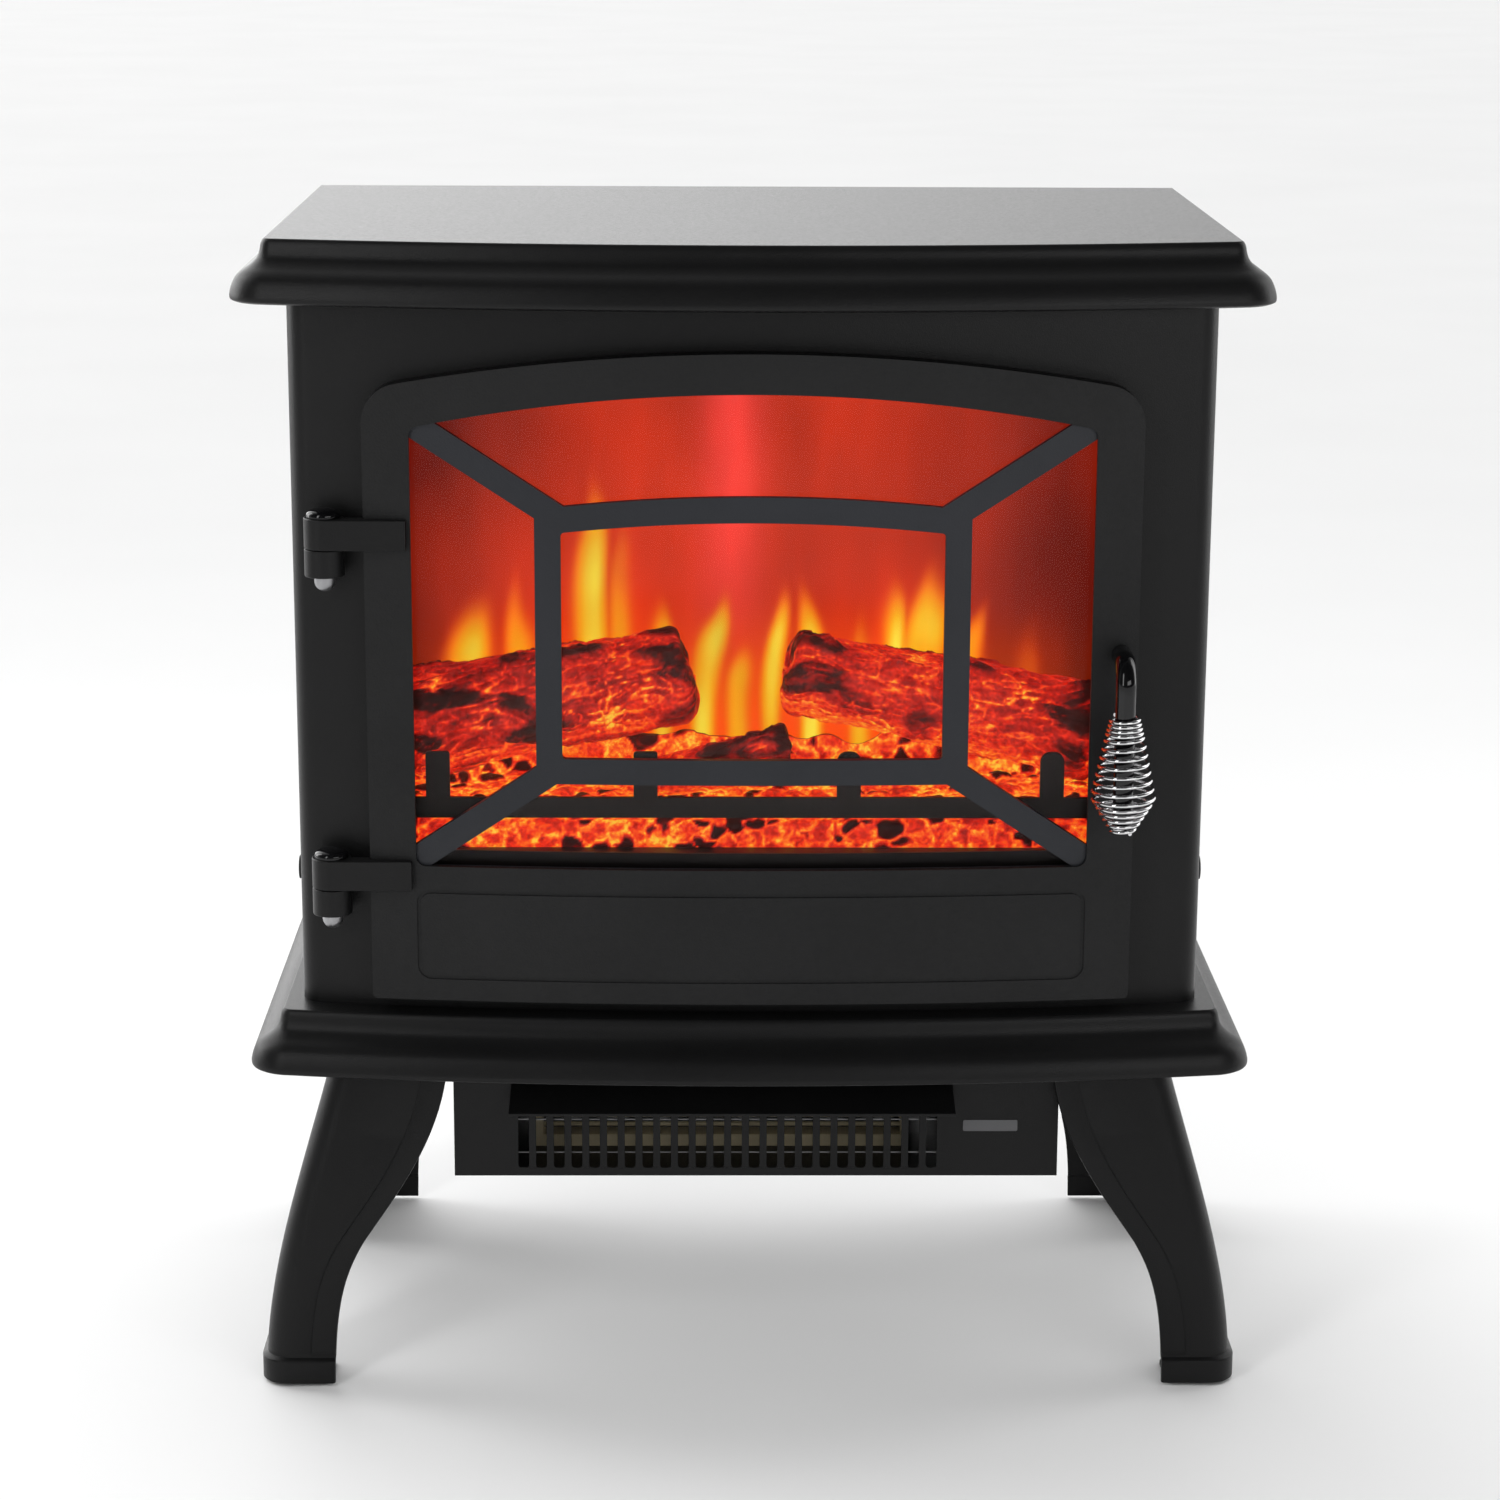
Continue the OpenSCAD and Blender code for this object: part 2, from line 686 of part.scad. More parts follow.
// Moulded shell with a bank at its back, that the light board under it shines through
module ember_bed() {
    color([0.7, 0.2, 0.05]) translate([-fire_half + 3, 0, 0]) rotate([90, 0, 90])
        linear_extrude(height = 2 * fire_half - 6) polygon([
            [ember_y[0], floor_z], [ember_y[0], floor_z + 14], [ember_y[0] + 5, floor_z + 17],
            [ember_y[1] - 2.5, floor_z + 23], [ember_y[1] - 2.5, bank_z], [ember_y[1], bank_z],
            [ember_y[1], floor_z], [ember_y[1] - 2.5, floor_z], [ember_y[1] - 2.5, floor_z + 20],
            [ember_y[0] + 6, floor_z + 14.5], [ember_y[0] + 2.5, floor_z + 12.5],
            [ember_y[0] + 2.5, floor_z]]);
}

// Round log between two points with its own radius at each end
module log_between(a, ra, b, rb) {
    hull() {
        for (e = [[a, ra, b], [b, rb, a]]) {
            d = e[2] - e[0];
            translate(e[0]) rotate([0, acos(d[2] / norm(d)), atan2(d[1], d[0])])
                cylinder(r1 = e[1] * 0.93, r2 = e[1], h = 6, $fn = 28);
        }
    }
}

module log_left() {
    color([0.3, 0.16, 0.1]) log_between([-184, -48, 334], 29, [-27, -44, 363], 24);
}

module log_right() {
    color([0.3, 0.16, 0.1]) log_between([15, -44, 364], 21, [184, -46, 331], 26);
}

module log_centre() {
    color([0.35, 0.14, 0.08]) log_between([-56, -72, 312], 10.5, [24, -66, 326], 15);
}

grate_y = [-97, -94.5];
grate_bar = [299, 309.5];
post_x = [-157, -53, 49, 151];

module grate() {
    color([0.05, 0.05, 0.05]) slab(grate_y[0], grate_y[1]) {
        translate([-fire_half + 2, grate_bar[0]]) square([2 * fire_half - 4, grate_bar[1] - grate_bar[0]]);
        for (x = post_x) rounded_rect(x - 6, x + 6, grate_bar[0], 333, x > 0 ? 5 : 1.5);
    }
}

module led_board(x, y0, y1, step) {
    block([-x, y0, floor_z], [x, y1, floor_z + 1.6]);
    for (u = [-x + 12:step:x - 12]) block([u - 2.5, (y0 + y1) / 2 - 2.5, floor_z + 1.6],
                                          [u + 2.5, (y0 + y1) / 2 + 2.5, floor_z + 3.2]);
}

module ember_light_board() {
    color([0.1, 0.35, 0.15]) led_board(150, -62, -44, 23);
}

module flame_light_board() {
    color([0.1, 0.35, 0.15]) led_board(150, 32, 48, 23);
}

rotor_x = [-176, 170];

// Shaft with paddles of bright foil, each row turned from the last
module flame_rotor() {
    color([0.8, 0.8, 0.82]) {
        rod_x(rotor_y, rotor_z, 3, rotor_x[0] - 2, rotor_x[1] + 10);
        for (i = [0:9]) translate([rotor_x[0] + 20 + 31 * i, rotor_y, rotor_z]) rotate([36 * i, 0, 0])
            for (a = [0:60:120]) rotate([a, 0, 0]) translate([12, 0, 0])
                cube([24, 2 * rotor_r, 0.8], center = true);
    }
}

module rotor_brackets() {
    color(steel) for (x = rotor_x) difference() {
        union() {
            block([x, rotor_y - 12, floor_z], [x + 1.6, rotor_y + 12, rotor_z + 14]);
            block([x > 0 ? x - 14 : x, rotor_y - 12, floor_z],
                  [x > 0 ? x : x + 16, rotor_y + 12, floor_z + 1.6]);
        }
        rod_x(rotor_y, rotor_z, bore_r, x - 1, x + 3);
    }
}

module rotor_motor() {
    color(steel) difference() {
        union() {
            rod_x(rotor_y, rotor_z, 12, rotor_x[1] + 1.6, rotor_x[1] + 18);
            rod_x(rotor_y, rotor_z, 6, rotor_x[1] + 18, rotor_x[1] + 21);
        }
        rod_x(rotor_y, rotor_z, bore_r, rotor_x[1] + 1, rotor_x[1] + 10.5);
    }
}

// ---------------------------------------------------------------- heater

module heater_housing() {
    x0 = housing_x - housing_w / 2;
    x1 = housing_x + housing_w / 2;
    pitch = (slot_x[1] - slot_x[0] - slot_w) / (slot_count - 1);
    color(black) difference() {
        block([x0, housing_y[0], housing_z], [x1, housing_y[1], deck_z]);
        block([x0 + sheet, housing_y[0] + sheet, housing_z + sheet],
              [x1 - sheet, housing_y[1] - sheet, deck_z + 1]);
        slab(housing_y[0] - 1, housing_y[0] + 3) for (i = [0:slot_count - 1])
            rounded_rect(slot_x[0] + i * pitch, slot_x[0] + i * pitch + slot_w, slot_z[0], slot_z[1], 1.5);
        for (x = [-120:24:120]) block([x - 3, housing_y[1] - 4, 125], [x + 3, housing_y[1] + 1, 185]);
    }
}

// Hood over the outlet, with a flange on the housing's face and ends that flare outwards
module heat_deflector() {
    y = housing_y[0];
    color(black) intersection() {
        translate([deflector_x[0], 0, 0]) rotate([90, 0, 90])
            linear_extrude(height = deflector_x[1] - deflector_x[0])
                polygon([[y, 172], [y - 1.2, 172], [y - 1.2, 157.5], [y - 16, 146], [y - 16, 144.5],
                         [y - 14.8, 145], [y, 156.4]]);
        slab(y - 20, y + 1)
            polygon([[deflector_x[0], 140], [deflector_x[0] + 2.5, 175], [deflector_x[1] - 3, 175],
                     [deflector_x[1], 140]]);
    }
}

element_y = [-52, -40];

// Mica frame strung with resistance wire
module heating_element() {
    color([0.75, 0.7, 0.6]) {
        difference() {
            block([-112, element_y[0], housing_z + sheet], [84, element_y[1], 150]);
            block([-108, element_y[0] - 1, 114], [80, element_y[1] + 1, 146]);
        }
        for (i = [0:5]) rod_x(-46, 118 + 5 * i, 1.2, -109, 81);
    }
}

module thermal_cutout() {
    color([0.15, 0.15, 0.15]) {
        rod_z(40, -46, 8, 150, 155);
        block([28, -50, 150], [52, -42, 151.2]);
    }
}

module blower_wheel() {
    color(steel) {
        for (x = [wheel_x[0], -16, wheel_x[1] - 2]) rod_x(wheel_y, wheel_z, wheel_r, x, x + 2);
        for (a = [0:20:340]) translate([0, wheel_y, wheel_z]) rotate([a, 0, 0])
            translate([wheel_x[0], -0.5, wheel_r - 8]) cube([wheel_x[1] - wheel_x[0], 1, 7]);
        rod_x(wheel_y, wheel_z, 3, wheel_x[0] - 5, wheel_x[0]);
        rod_x(wheel_y, wheel_z, 3, wheel_x[1], wheel_x[1] + 11);
    }
}

// Curved sheet round the wheel, open towards the element and the intake, with end plates
module blower_scroll() {
    x0 = wheel_x[0] - 4;
    x1 = wheel_x[1] + 4;
    color([0.5, 0.5, 0.5]) difference() {
        rod_x(wheel_y, wheel_z, 31, x0, x1);
        rod_x(wheel_y, wheel_z, 29.5, x0 + 1.5, x1 - 1.5);
        block([x0 + 1.5, wheel_y - 40, wheel_z - 40], [x1 - 1.5, wheel_y - 14, wheel_z + 10]);
        block([x0 + 1.5, wheel_y + 8, wheel_z - 12], [x1 - 1.5, wheel_y + 40, wheel_z + 24]);
        rod_x(wheel_y, wheel_z, bore_r, x0 - 1, x1 + 1);
    }
}

module blower_motor() {
    x = wheel_x[1] + 4;
    color([0.3, 0.3, 0.32]) difference() {
        union() {
            rod_x(wheel_y, wheel_z, 24, x, x + 34);
            rod_x(wheel_y, wheel_z, 9, x + 34, x + 42);
        }
        rod_x(wheel_y, wheel_z, bore_r, x - 1, x + 8);
    }
}

module blank_label() {
    color([0.35, 0.35, 0.36]) slab(housing_y[0] - 0.3, housing_y[0])
        rounded_rect(label_x[0], label_x[1], 131, 137, 0.8);
}

// ---------------------------------------------------------------- controls

// Shallow tray behind the door's lower panel
module control_panel() {
    color([0.14, 0.14, 0.14]) difference() {
        intersection() {
            slab(corner_y, tray_y) rounded_rect(-tray_half, tray_half, tray_z[0], tray_z[1], 5);
            bow_solid(cabinet_r - sheet);
        }
        slab(corner_y - 1, tray_y - 1.6)
            rounded_rect(-tray_half + sheet, tray_half - sheet, tray_z[0] + sheet, tray_z[1] - sheet, 4);
        for (x = rocker_x)
            block([x - 10.5, tray_y - 5, control_z - 15], [x + 10.5, tray_y + 1, control_z + 15]);
        rod_y(knob_x, control_z, 4, tray_y - 5, tray_y + 1);
    }
}

switch_front = tray_y - 3.1;
pivot_y = switch_front + 3.5;

module switch_bodies() {
    color([0.05, 0.05, 0.05]) for (x = rocker_x) difference() {
        union() {
            slab(switch_front, tray_y - 1.6)
                rounded_rect(x - 12.5, x + 12.5, control_z - 17, control_z + 17, 2);
            block([x - 10.5, tray_y - 1.6, control_z - 15], [x + 10.5, tray_y + 18, control_z + 15]);
        }
        block([x - 8.8, switch_front - 1, control_z - 13.2], [x + 8.8, tray_y + 9, control_z + 13.2]);
        rod_x(pivot_y, control_z, 1.55, x - 10, x + 10);
    }
}

// Rocker drawn level, then tilted so that its lower half stands pressed in
module rocker(x) {
    translate([x, pivot_y, control_z]) rotate([5, 0, 0]) {
        rotate([90, 0, 90]) translate([0, 0, -8.4]) linear_extrude(height = 16.8)
            polygon([[-7, -12], [-4.4, 0], [-7, 12], [-1, 12], [3, 3], [3, -3], [-1, -12]]);
        rod_x(0, 0, 1.5, -9.8, 9.8);
    }
}

module rocker_power() {
    color([0.6, 0.05, 0.03]) rocker(rocker_x[0]);
}

module rocker_heat_low() {
    color([0.06, 0.06, 0.06]) rocker(rocker_x[1]);
}

module rocker_heat_high() {
    color([0.06, 0.06, 0.06]) rocker(rocker_x[2]);
}

module thermostat() {
    color(steel) {
        block([knob_x - 16, tray_y, control_z - 14], [knob_x + 16, tray_y + 16, control_z + 14]);
        rod_y(knob_x, control_z, 3, tray_y - 9, tray_y);
    }
}

module thermostat_knob() {
    color([0.08, 0.08, 0.08]) difference() {
        union() {
            rod_y(knob_x, control_z, 15, tray_y - 6, tray_y - 2);
            rod_y(knob_x, control_z, 12.5, tray_y - 14, tray_y - 6);
            translate([knob_x, 0, control_z]) rotate([0, knob_low, 0])
                block([-1.2, tray_y - 15, 0], [1.2, tray_y - 13, 12]);
        }
        rod_y(knob_x, control_z, bore_r, tray_y - 9.3, tray_y - 1);
    }
}

module control_board() {
    color([0.1, 0.35, 0.15]) {
        block([-12, tray_y, control_z - 16], [36, tray_y + 1.6, control_z + 16]);
        block([-6, tray_y + 1.6, control_z - 8], [12, tray_y + 14, control_z + 8]);
        rod_y(24, control_z, 5, tray_y + 1.6, tray_y + 14);
    }
}

top_cover();
cabinet_shell();
rear_panel();
rear_panel_screws();
base_cover();
leg_front_left();
leg_front_right();
leg_rear_left();
leg_rear_right();
foot_pads();
leg_screws();
side_screws();
door_frame();
window_grille();
door_glass();
glass_clips();
clip_screws();
hinge_leaf_upper();
hinge_leaf_lower();
hinge_bracket_upper();
hinge_bracket_lower();
hinge_pins();
hinge_pin_nuts();
handle_rod();
handle_coil();
handle_nut();
door_striker();
magnet_catch();
firebox_floor();
firebox_liner();
flame_screen();
flame_mask();
ember_bed();
log_left();
log_right();
log_centre();
grate();
ember_light_board();
flame_light_board();
flame_rotor();
rotor_brackets();
rotor_motor();
heater_housing();
heat_deflector();
heating_element();
blower_wheel();
blower_scroll();
blower_motor();
thermal_cutout();
blank_label();
control_panel();
rocker_power();
rocker_heat_low();
rocker_heat_high();
switch_bodies();
thermostat();
thermostat_knob();
cable_gland();
control_board();
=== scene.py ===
"""Looks of a free-standing electric stove heater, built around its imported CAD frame.

Meshes are worked out in millimetres, in the frame's axes (+Z up, door towards -Y), and scaled
to metres when they become objects.
"""

import json
import math

import bmesh
import bpy
import numpy as np
from mathutils import Matrix, Vector, geometry, noise


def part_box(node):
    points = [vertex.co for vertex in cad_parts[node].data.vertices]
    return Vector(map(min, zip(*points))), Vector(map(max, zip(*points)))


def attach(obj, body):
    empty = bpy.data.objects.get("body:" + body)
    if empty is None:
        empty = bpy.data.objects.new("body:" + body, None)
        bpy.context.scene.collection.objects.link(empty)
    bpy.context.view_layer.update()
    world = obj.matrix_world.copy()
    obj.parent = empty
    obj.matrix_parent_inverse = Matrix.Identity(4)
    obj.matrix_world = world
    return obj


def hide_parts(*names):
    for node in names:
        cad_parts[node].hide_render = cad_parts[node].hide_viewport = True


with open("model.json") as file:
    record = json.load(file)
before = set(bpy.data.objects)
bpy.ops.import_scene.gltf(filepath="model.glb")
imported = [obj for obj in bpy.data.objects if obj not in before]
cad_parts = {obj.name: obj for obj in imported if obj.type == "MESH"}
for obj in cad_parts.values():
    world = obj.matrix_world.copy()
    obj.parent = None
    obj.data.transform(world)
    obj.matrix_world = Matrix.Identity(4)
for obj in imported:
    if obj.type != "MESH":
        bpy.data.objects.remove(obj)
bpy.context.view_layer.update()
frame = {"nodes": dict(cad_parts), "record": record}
MM = 0.001
# Vector noise is seeded by the clock unless it is given a seed
noise.seed_set(1)


def node_box(node):
    """Lowest and highest corner of a CAD node, in millimetres."""
    low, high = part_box(node)
    return low / MM, high / MM


# ---------------------------------------------------------------- driving sizes, mm

TOP_HIGH = node_box("top_cover")[1]
SCREEN_LOW, SCREEN_HIGH = node_box("flame_screen")
BACK_Y = TOP_HIGH.y
CORNER_Y = -128.0
DOOR_R = 1620.0
ARC_Y = CORNER_Y - 3 + DOOR_R
CABINET_R = DOOR_R - 12.5
BASE_R = DOOR_R + 18.5
TOP_R = 1150.0
TOP_ARC_Y = CORNER_Y - 26 + TOP_R
OVERALL_W = 504.6
CABINET_W = 454.0
CABINET_BACK = BACK_Y - 12
CABINET_CORNER = 12
CABINET_TOP = 588.4
BACK_FLANGE = 14
MOULDING_IN = 18.0
MOULDING_CORNER = 22.0
MOULDING_H = 30.0
MOULDING_T = 1.5
BASE_Z = 204.0
SHEET = 1.2
DOOR_HALF = 189.5
DOOR_Z0 = 211.5
DOOR_CROWN = 537.5
DOOR_ARCH_R = 945
DOOR_SKIN_T = 3.0
DOOR_DEPTH = 11.3
RIM_T = 2.2
GROOVE_DEPTH = 0.8
WINDOW_HALF = 166.5
WINDOW_Z0 = 281.0
WINDOW_CROWN = 518.0
WINDOW_ARCH_R = 790
RING_HALF = 106.3
RING_Z0 = 324
RING_CROWN = 468
RING_ARCH_R = 800
BAR_W = 12.8
HANDLE_X = 181.0
HANDLE_Y = -145.7
HANDLE_Z = 389.0
BEND_R = 12.0
ROD_R = 5.0
COIL_WIRE_R = 0.95
COIL_WIDEST_R = 16.3
GRIP_FOOT = 308
GUARD_WIRE_R = 0.45
LEG_TOP = 199.5
LEG_CORNER = 14.0
LEG_WALL = 3.0
REAR_FOOT_LIFT = 22.5
SHARP_ANGLE = 32
BEVEL_ANGLE = 38

# ---------------------------------------------------------------- mesh helpers


def smooth_shade(mesh, angle=SHARP_ANGLE):
    """Smooth shading that stays sharp where faces meet at more than this angle."""
    mesh.shade_smooth()
    mesh.set_sharp_from_angle(angle=math.radians(angle))


def add_object(name, verts, faces, body, slot, *nodes, angle=SHARP_ANGLE):
    """Makes a mesh piece from millimetre points, puts it on its body, and hides the CAD nodes it stands for.
    """
    mesh = bpy.data.meshes.new(name)
    mesh.from_pydata((np.asarray(verts, float) * MM).tolist(), [], faces)
    bm = bmesh.new()
    bm.from_mesh(mesh)
    bmesh.ops.recalc_face_normals(bm, faces=bm.faces)
    bm.to_mesh(mesh)
    bm.free()
    smooth_shade(mesh, angle)
    mesh.materials.append(MATERIALS[slot])
    piece = bpy.data.objects.new(name, mesh)
    bpy.context.scene.collection.objects.link(piece)
    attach(piece, body)
    if nodes:
        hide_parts(*nodes)
    return piece


def soften(piece, width, segments=3, by_weight=False):
    """Rounds a piece's edges by a real bevel, with clean normals on its flats."""
    bevel = piece.modifiers.new("Soft edges", "BEVEL")
    bevel.width = width * MM
    bevel.segments = segments
    bevel.limit_method = "WEIGHT" if by_weight else "ANGLE"
    bevel.angle_limit = math.radians(BEVEL_ANGLE)
    bevel.harden_normals = True
    bevel.miter_outer = "MITER_ARC"


def arc(cx, cy, r, a0, a1, n):
    """Points of an arc from a0 to a1 degrees."""
    angles = np.radians(np.linspace(a0, a1, n + 1))
    return [(cx + r * math.cos(a), cy + r * math.sin(a)) for a in angles]


def arch_outline(half, z0, crown, ar, rc, rf, steps=48):
    """Straight sides, an arched top of radius ar reaching crown, and rounded corners."""
    cz = crown - ar
    kz = cz + math.sqrt((ar - rc) ** 2 - (half - rc) ** 2)
    phi = math.degrees(math.atan2(kz - cz, half - rc))
    top = arc(0, cz, ar, phi, 180 - phi, steps)[1:-1]
    return (
        arc(half - rf, z0 + rf, rf, -90, 0, 6)
        + arc(half - rc, kz, rc, 0, phi, 10)
        + top
        + arc(rc - half, kz, rc, 180 - phi, 180, 10)
        + arc(rf - half, z0 + rf, rf, 180, 270, 6)
    )


def rounded_rect(x0, x1, z0, z1, r, steps=6):
    """Outline of a rectangle with corners of radius r."""
    return (
        arc(x1 - r, z0 + r, r, -90, 0, steps)
        + arc(x1 - r, z1 - r, r, 0, 90, steps)
        + arc(x0 + r, z1 - r, r, 90, 180, steps)
        + arc(x0 + r, z0 + r, r, 180, 270, steps)
    )


def bowed(radius):
    """Places a flat point on the bowed surface that lies depth behind one of this radius."""

    def place(u, z, depth):
        r = radius - depth
        return (u, ARC_Y - math.sqrt(r * r - u * u), z)

    return place


def triangulate(outlines, cuts):
    """Triangles of nested flat outlines, cut along upright lines, with each one's owners."""
    points, faces, edges = [], [], []
    for ring in outlines:
        faces.append(list(range(len(points), len(points) + len(ring))))
        points += [Vector(p) for p in ring]
    low = min(p.y for p in points) - 1
    high = max(p.y for p in points) + 1
    for x in cuts:
        edges.append((len(points), len(points) + 1))
        points += [Vector((x, low)), Vector((x, high))]
    found = geometry.delaunay_2d_cdt(points, edges, faces, 0, 1e-4, True)
    return [tuple(v) for v in found[0]], list(zip(found[2], map(set, found[5])))


def outer_only(owners):
    """Front level of a plate that is solid only between its first outline and the others."""
    return 0.0 if owners == {0} else None


def plate(outlines, level, depth, place, cuts):
    """Closed plate whose front lies level(owners) deep, or is left open where that is None.

    Returns points, faces, and the weight of each front edge's rounding."""
    flat, triangles = triangulate(outlines, cuts)
    verts, index, faces, sides, weights = [], {}, [], {}, {}

    def vertex(v, d):
        if (v, d) not in index:
            index[(v, d)] = len(verts)
            verts.append(place(flat[v][0], flat[v][1], d))
        return index[(v, d)]

    for corners, owners in triangles:
        front = level(owners)
        if front is None:
            continue
        faces.append([vertex(v, front) for v in corners])
        faces.append([vertex(v, depth) for v in reversed(corners)])
        for a, b in zip(corners, corners[1:] + corners[:1]):
            sides.setdefault(frozenset((a, b)), []).append((a, b, front))
    for found in sides.values():
        a, b, front = found[0]
        if len(found) == 1:
            faces.append([vertex(b, front), vertex(a, front), vertex(a, depth), vertex(b, depth)])
            weights[frozenset((vertex(a, front), vertex(b, front)))] = 1.0
        elif found[1][2] != front:
            other = found[1][2]
            faces.append([vertex(b, front), vertex(a, front), vertex(a, other), vertex(b, other)])
            for d in (front, other):
                weights[frozenset((vertex(a, d), vertex(b, d)))] = 0.25
    return verts, faces, weights


def add_plate(name, made, width, *say, segments=3):
    """Adds a plate, with its front edges rounded by up to width."""
    verts, faces, weights = made
    piece = add_object(name, verts, faces, *say)
    layer = piece.data.attributes.new("bevel_weight_edge", "FLOAT", "EDGE")
    for edge in piece.data.edges:
        layer.data[edge.index].value = weights.get(frozenset(edge.vertices), 0.0)
    soften(piece, width, segments, by_weight=True)
    return piece


def skin(rings):
    """Points and faces of a tube through rings of the same size, capped at both ends."""
    k, m = len(rings[0]), len(rings)
    verts = [p for ring in rings for p in ring]
    faces = [
        [i * k + j, i * k + (j + 1) % k, (i + 1) * k + (j + 1) % k, (i + 1) * k + j]
        for i in range(m - 1)
        for j in range(k)
    ]
    faces += [list(reversed(range(k))), list(range((m - 1) * k, m * k))]
    return verts, faces


def tube(path, radius, sides=12):
    """A round tube along a path, by frames carried from point to point."""
    path = [Vector(p) for p in path]
    rings, side = [], None
    for i, p in enumerate(path):
        along = (path[min(i + 1, len(path) - 1)] - path[max(i - 1, 0)]).normalized()
        guess = side if side else along.orthogonal()
        side = (guess - along * guess.dot(along)).normalized()
        up = along.cross(side)
        turns = [2 * math.pi * j / sides for j in range(sides)]
        rings.append([p + (side * math.cos(a) + up * math.sin(a)) * radius for a in turns])
    return skin(rings)


def set_attribute(piece, name, values):
    """Stores one number, or one colour, for each point of a piece."""
    values = np.asarray(values, np.float32)
    kind, key = ("FLOAT", "value") if values.ndim == 1 else ("FLOAT_COLOR", "color")
    layer = piece.data.attributes.new(name, kind, "POINT")
    layer.data.foreach_set(key, values.ravel())


def smoothstep(low, high, x):
    """Eases from 0 at low to 1 at high."""
    t = np.clip((np.asarray(x, float) - low) / (high - low), 0, 1)
    return t * t * (3 - 2 * t)


# ---------------------------------------------------------------- camera and studio


def make_camera():
    """A viewpoint a little above the stove, looking down at it."""
    pitch, yaw, roll = math.radians(14.11), math.radians(0.79), math.radians(0.27)
    level = math.cos(pitch)
    forward = Vector((math.sin(yaw) * level, math.cos(yaw) * level, -math.sin(pitch)))
    data = bpy.data.cameras.new("Camera")
    data.lens = 87.1
    data.sensor_width = 36
    camera = bpy.data.objects.new("Camera", data)
    bpy.context.scene.collection.objects.link(camera)
    turn = forward.to_track_quat("-Z", "Y").to_matrix().to_4x4() @ Matrix.Rotation(roll, 4, "Z")
    camera.matrix_world = Matrix.Translation((-0.025, -1.8575, 0.7768)) @ turn
    bpy.context.scene.camera = camera


def area_light(name, azimuth, elevation, distance, size, power, target=(0, 0, 0.3)):
    """A softbox at a direction from the stove: azimuth 0 is in front of the door, 90 at its right."""
    a, e = math.radians(azimuth), math.radians(elevation)
    away = Vector((math.sin(a) * math.cos(e), -math.cos(a) * math.cos(e), math.sin(e)))
    data = bpy.data.lights.new(name, "AREA")
    data.shape = "RECTANGLE"
    data.size, data.size_y = size
    data.energy = power
    light = bpy.data.objects.new(name, data)
    light.location = Vector(target) + away * distance
    light.rotation_mode = "QUATERNION"
    light.rotation_quaternion = (-away).to_track_quat("-Z", "Y")
    bpy.context.scene.collection.objects.link(light)


def sky_light(strength):
    """Very soft light from straight above, the same over the whole floor, with no highlights."""
    data = bpy.data.lights.new("Sky", "SUN")
    data.energy = strength
    data.angle = math.radians(110)
    light = bpy.data.objects.new("Sky", data)
    light.visible_glossy = False
    bpy.context.scene.collection.objects.link(light)


def eased(tree, source, low, high, at_low, at_high):
    """Runs from at_low to at_high as the source grows from low to high."""
    node = tree.nodes.new("ShaderNodeMapRange")
    node.interpolation_type = "SMOOTHSTEP"
    limits = {"From Min": low, "From Max": high, "To Min": at_low, "To Max": at_high}
    for key, value in limits.items():
        node.inputs[key].default_value = value
    tree.links.new(source, node.inputs["Value"])
    return node.outputs[0]


def studio_strength(tree):
    """Strength of the world's light: high behind and to the left, low above and in front."""
    coord = tree.nodes.new("ShaderNodeTexCoord")
    split = tree.nodes.new("ShaderNodeSeparateXYZ")
    tree.links.new(coord.outputs["Generated"], split.inputs[0])
    x, y, z = split.outputs
    product = eased(tree, y, -0.2, 0.85, 0.06, 3.3)
    for factor in (eased(tree, x, -0.3, 0.3, 1.25, 0.5), eased(tree, z, 0.3, 0.9, 1.0, 0.45)):
        node = tree.nodes.new("ShaderNodeMath")
        node.operation = "MULTIPLY"
        tree.links.new(product, node.inputs[0])
        tree.links.new(factor, node.inputs[1])
        product = node.outputs[0]
    return product


def make_world():
    """White studio behind the stove, which lights it unevenly and shows as one pale backdrop."""
    world = bpy.data.worlds.new("Studio")
    world.use_nodes = True
    tree = world.node_tree
    tree.nodes.clear()
    lit = tree.nodes.new("ShaderNodeBackground")
    tree.links.new(studio_strength(tree), lit.inputs["Strength"])
    seen = tree.nodes.new("ShaderNodeBackground")
    seen.inputs["Color"].default_value = (0.97, 0.97, 0.97, 1)
    rays = tree.nodes.new("ShaderNodeLightPath")
    mix = tree.nodes.new("ShaderNodeMixShader")
    tree.links.new(rays.outputs["Is Camera Ray"], mix.inputs[0])
    tree.links.new(lit.outputs[0], mix.inputs[1])
    tree.links.new(seen.outputs[0], mix.inputs[2])
    out = tree.nodes.new("ShaderNodeOutputWorld")
    tree.links.new(mix.outputs[0], out.inputs["Surface"])
    bpy.context.scene.world = world


def make_stage(material):
    """A wide pale floor under the feet."""
    mesh = bpy.data.meshes.new("Floor")
    s = 80.0
    mesh.from_pydata([(-s, -s, 0), (s, -s, 0), (s, s, 0), (-s, s, 0)], [], [[0, 1, 2, 3]])
    mesh.materials.append(material)
    floor = bpy.data.objects.new("Floor", mesh)
    bpy.context.scene.collection.objects.link(floor)


def make_studio(floor):
    """Camera, world, floor and lights: a strip at each side, two in front and a soft sky."""
    make_camera()
    make_world()
    make_stage(floor)
    sky_light(1.55)
    area_light("Strip left", -36, 24, 2.0, (0.35, 1.3), 8)
    area_light("Low right", 30, 12, 2.0, (1.3, 0.4), 6, (0, 0, 0.4))
    area_light("Side right", 106, 20, 1.6, (0.5, 1.4), 5)
    area_light("Side left", -108, 22, 1.6, (0.5, 1.4), 8)
    view = bpy.context.scene.view_settings
    view.view_transform = "Standard"
    view.look = "None"


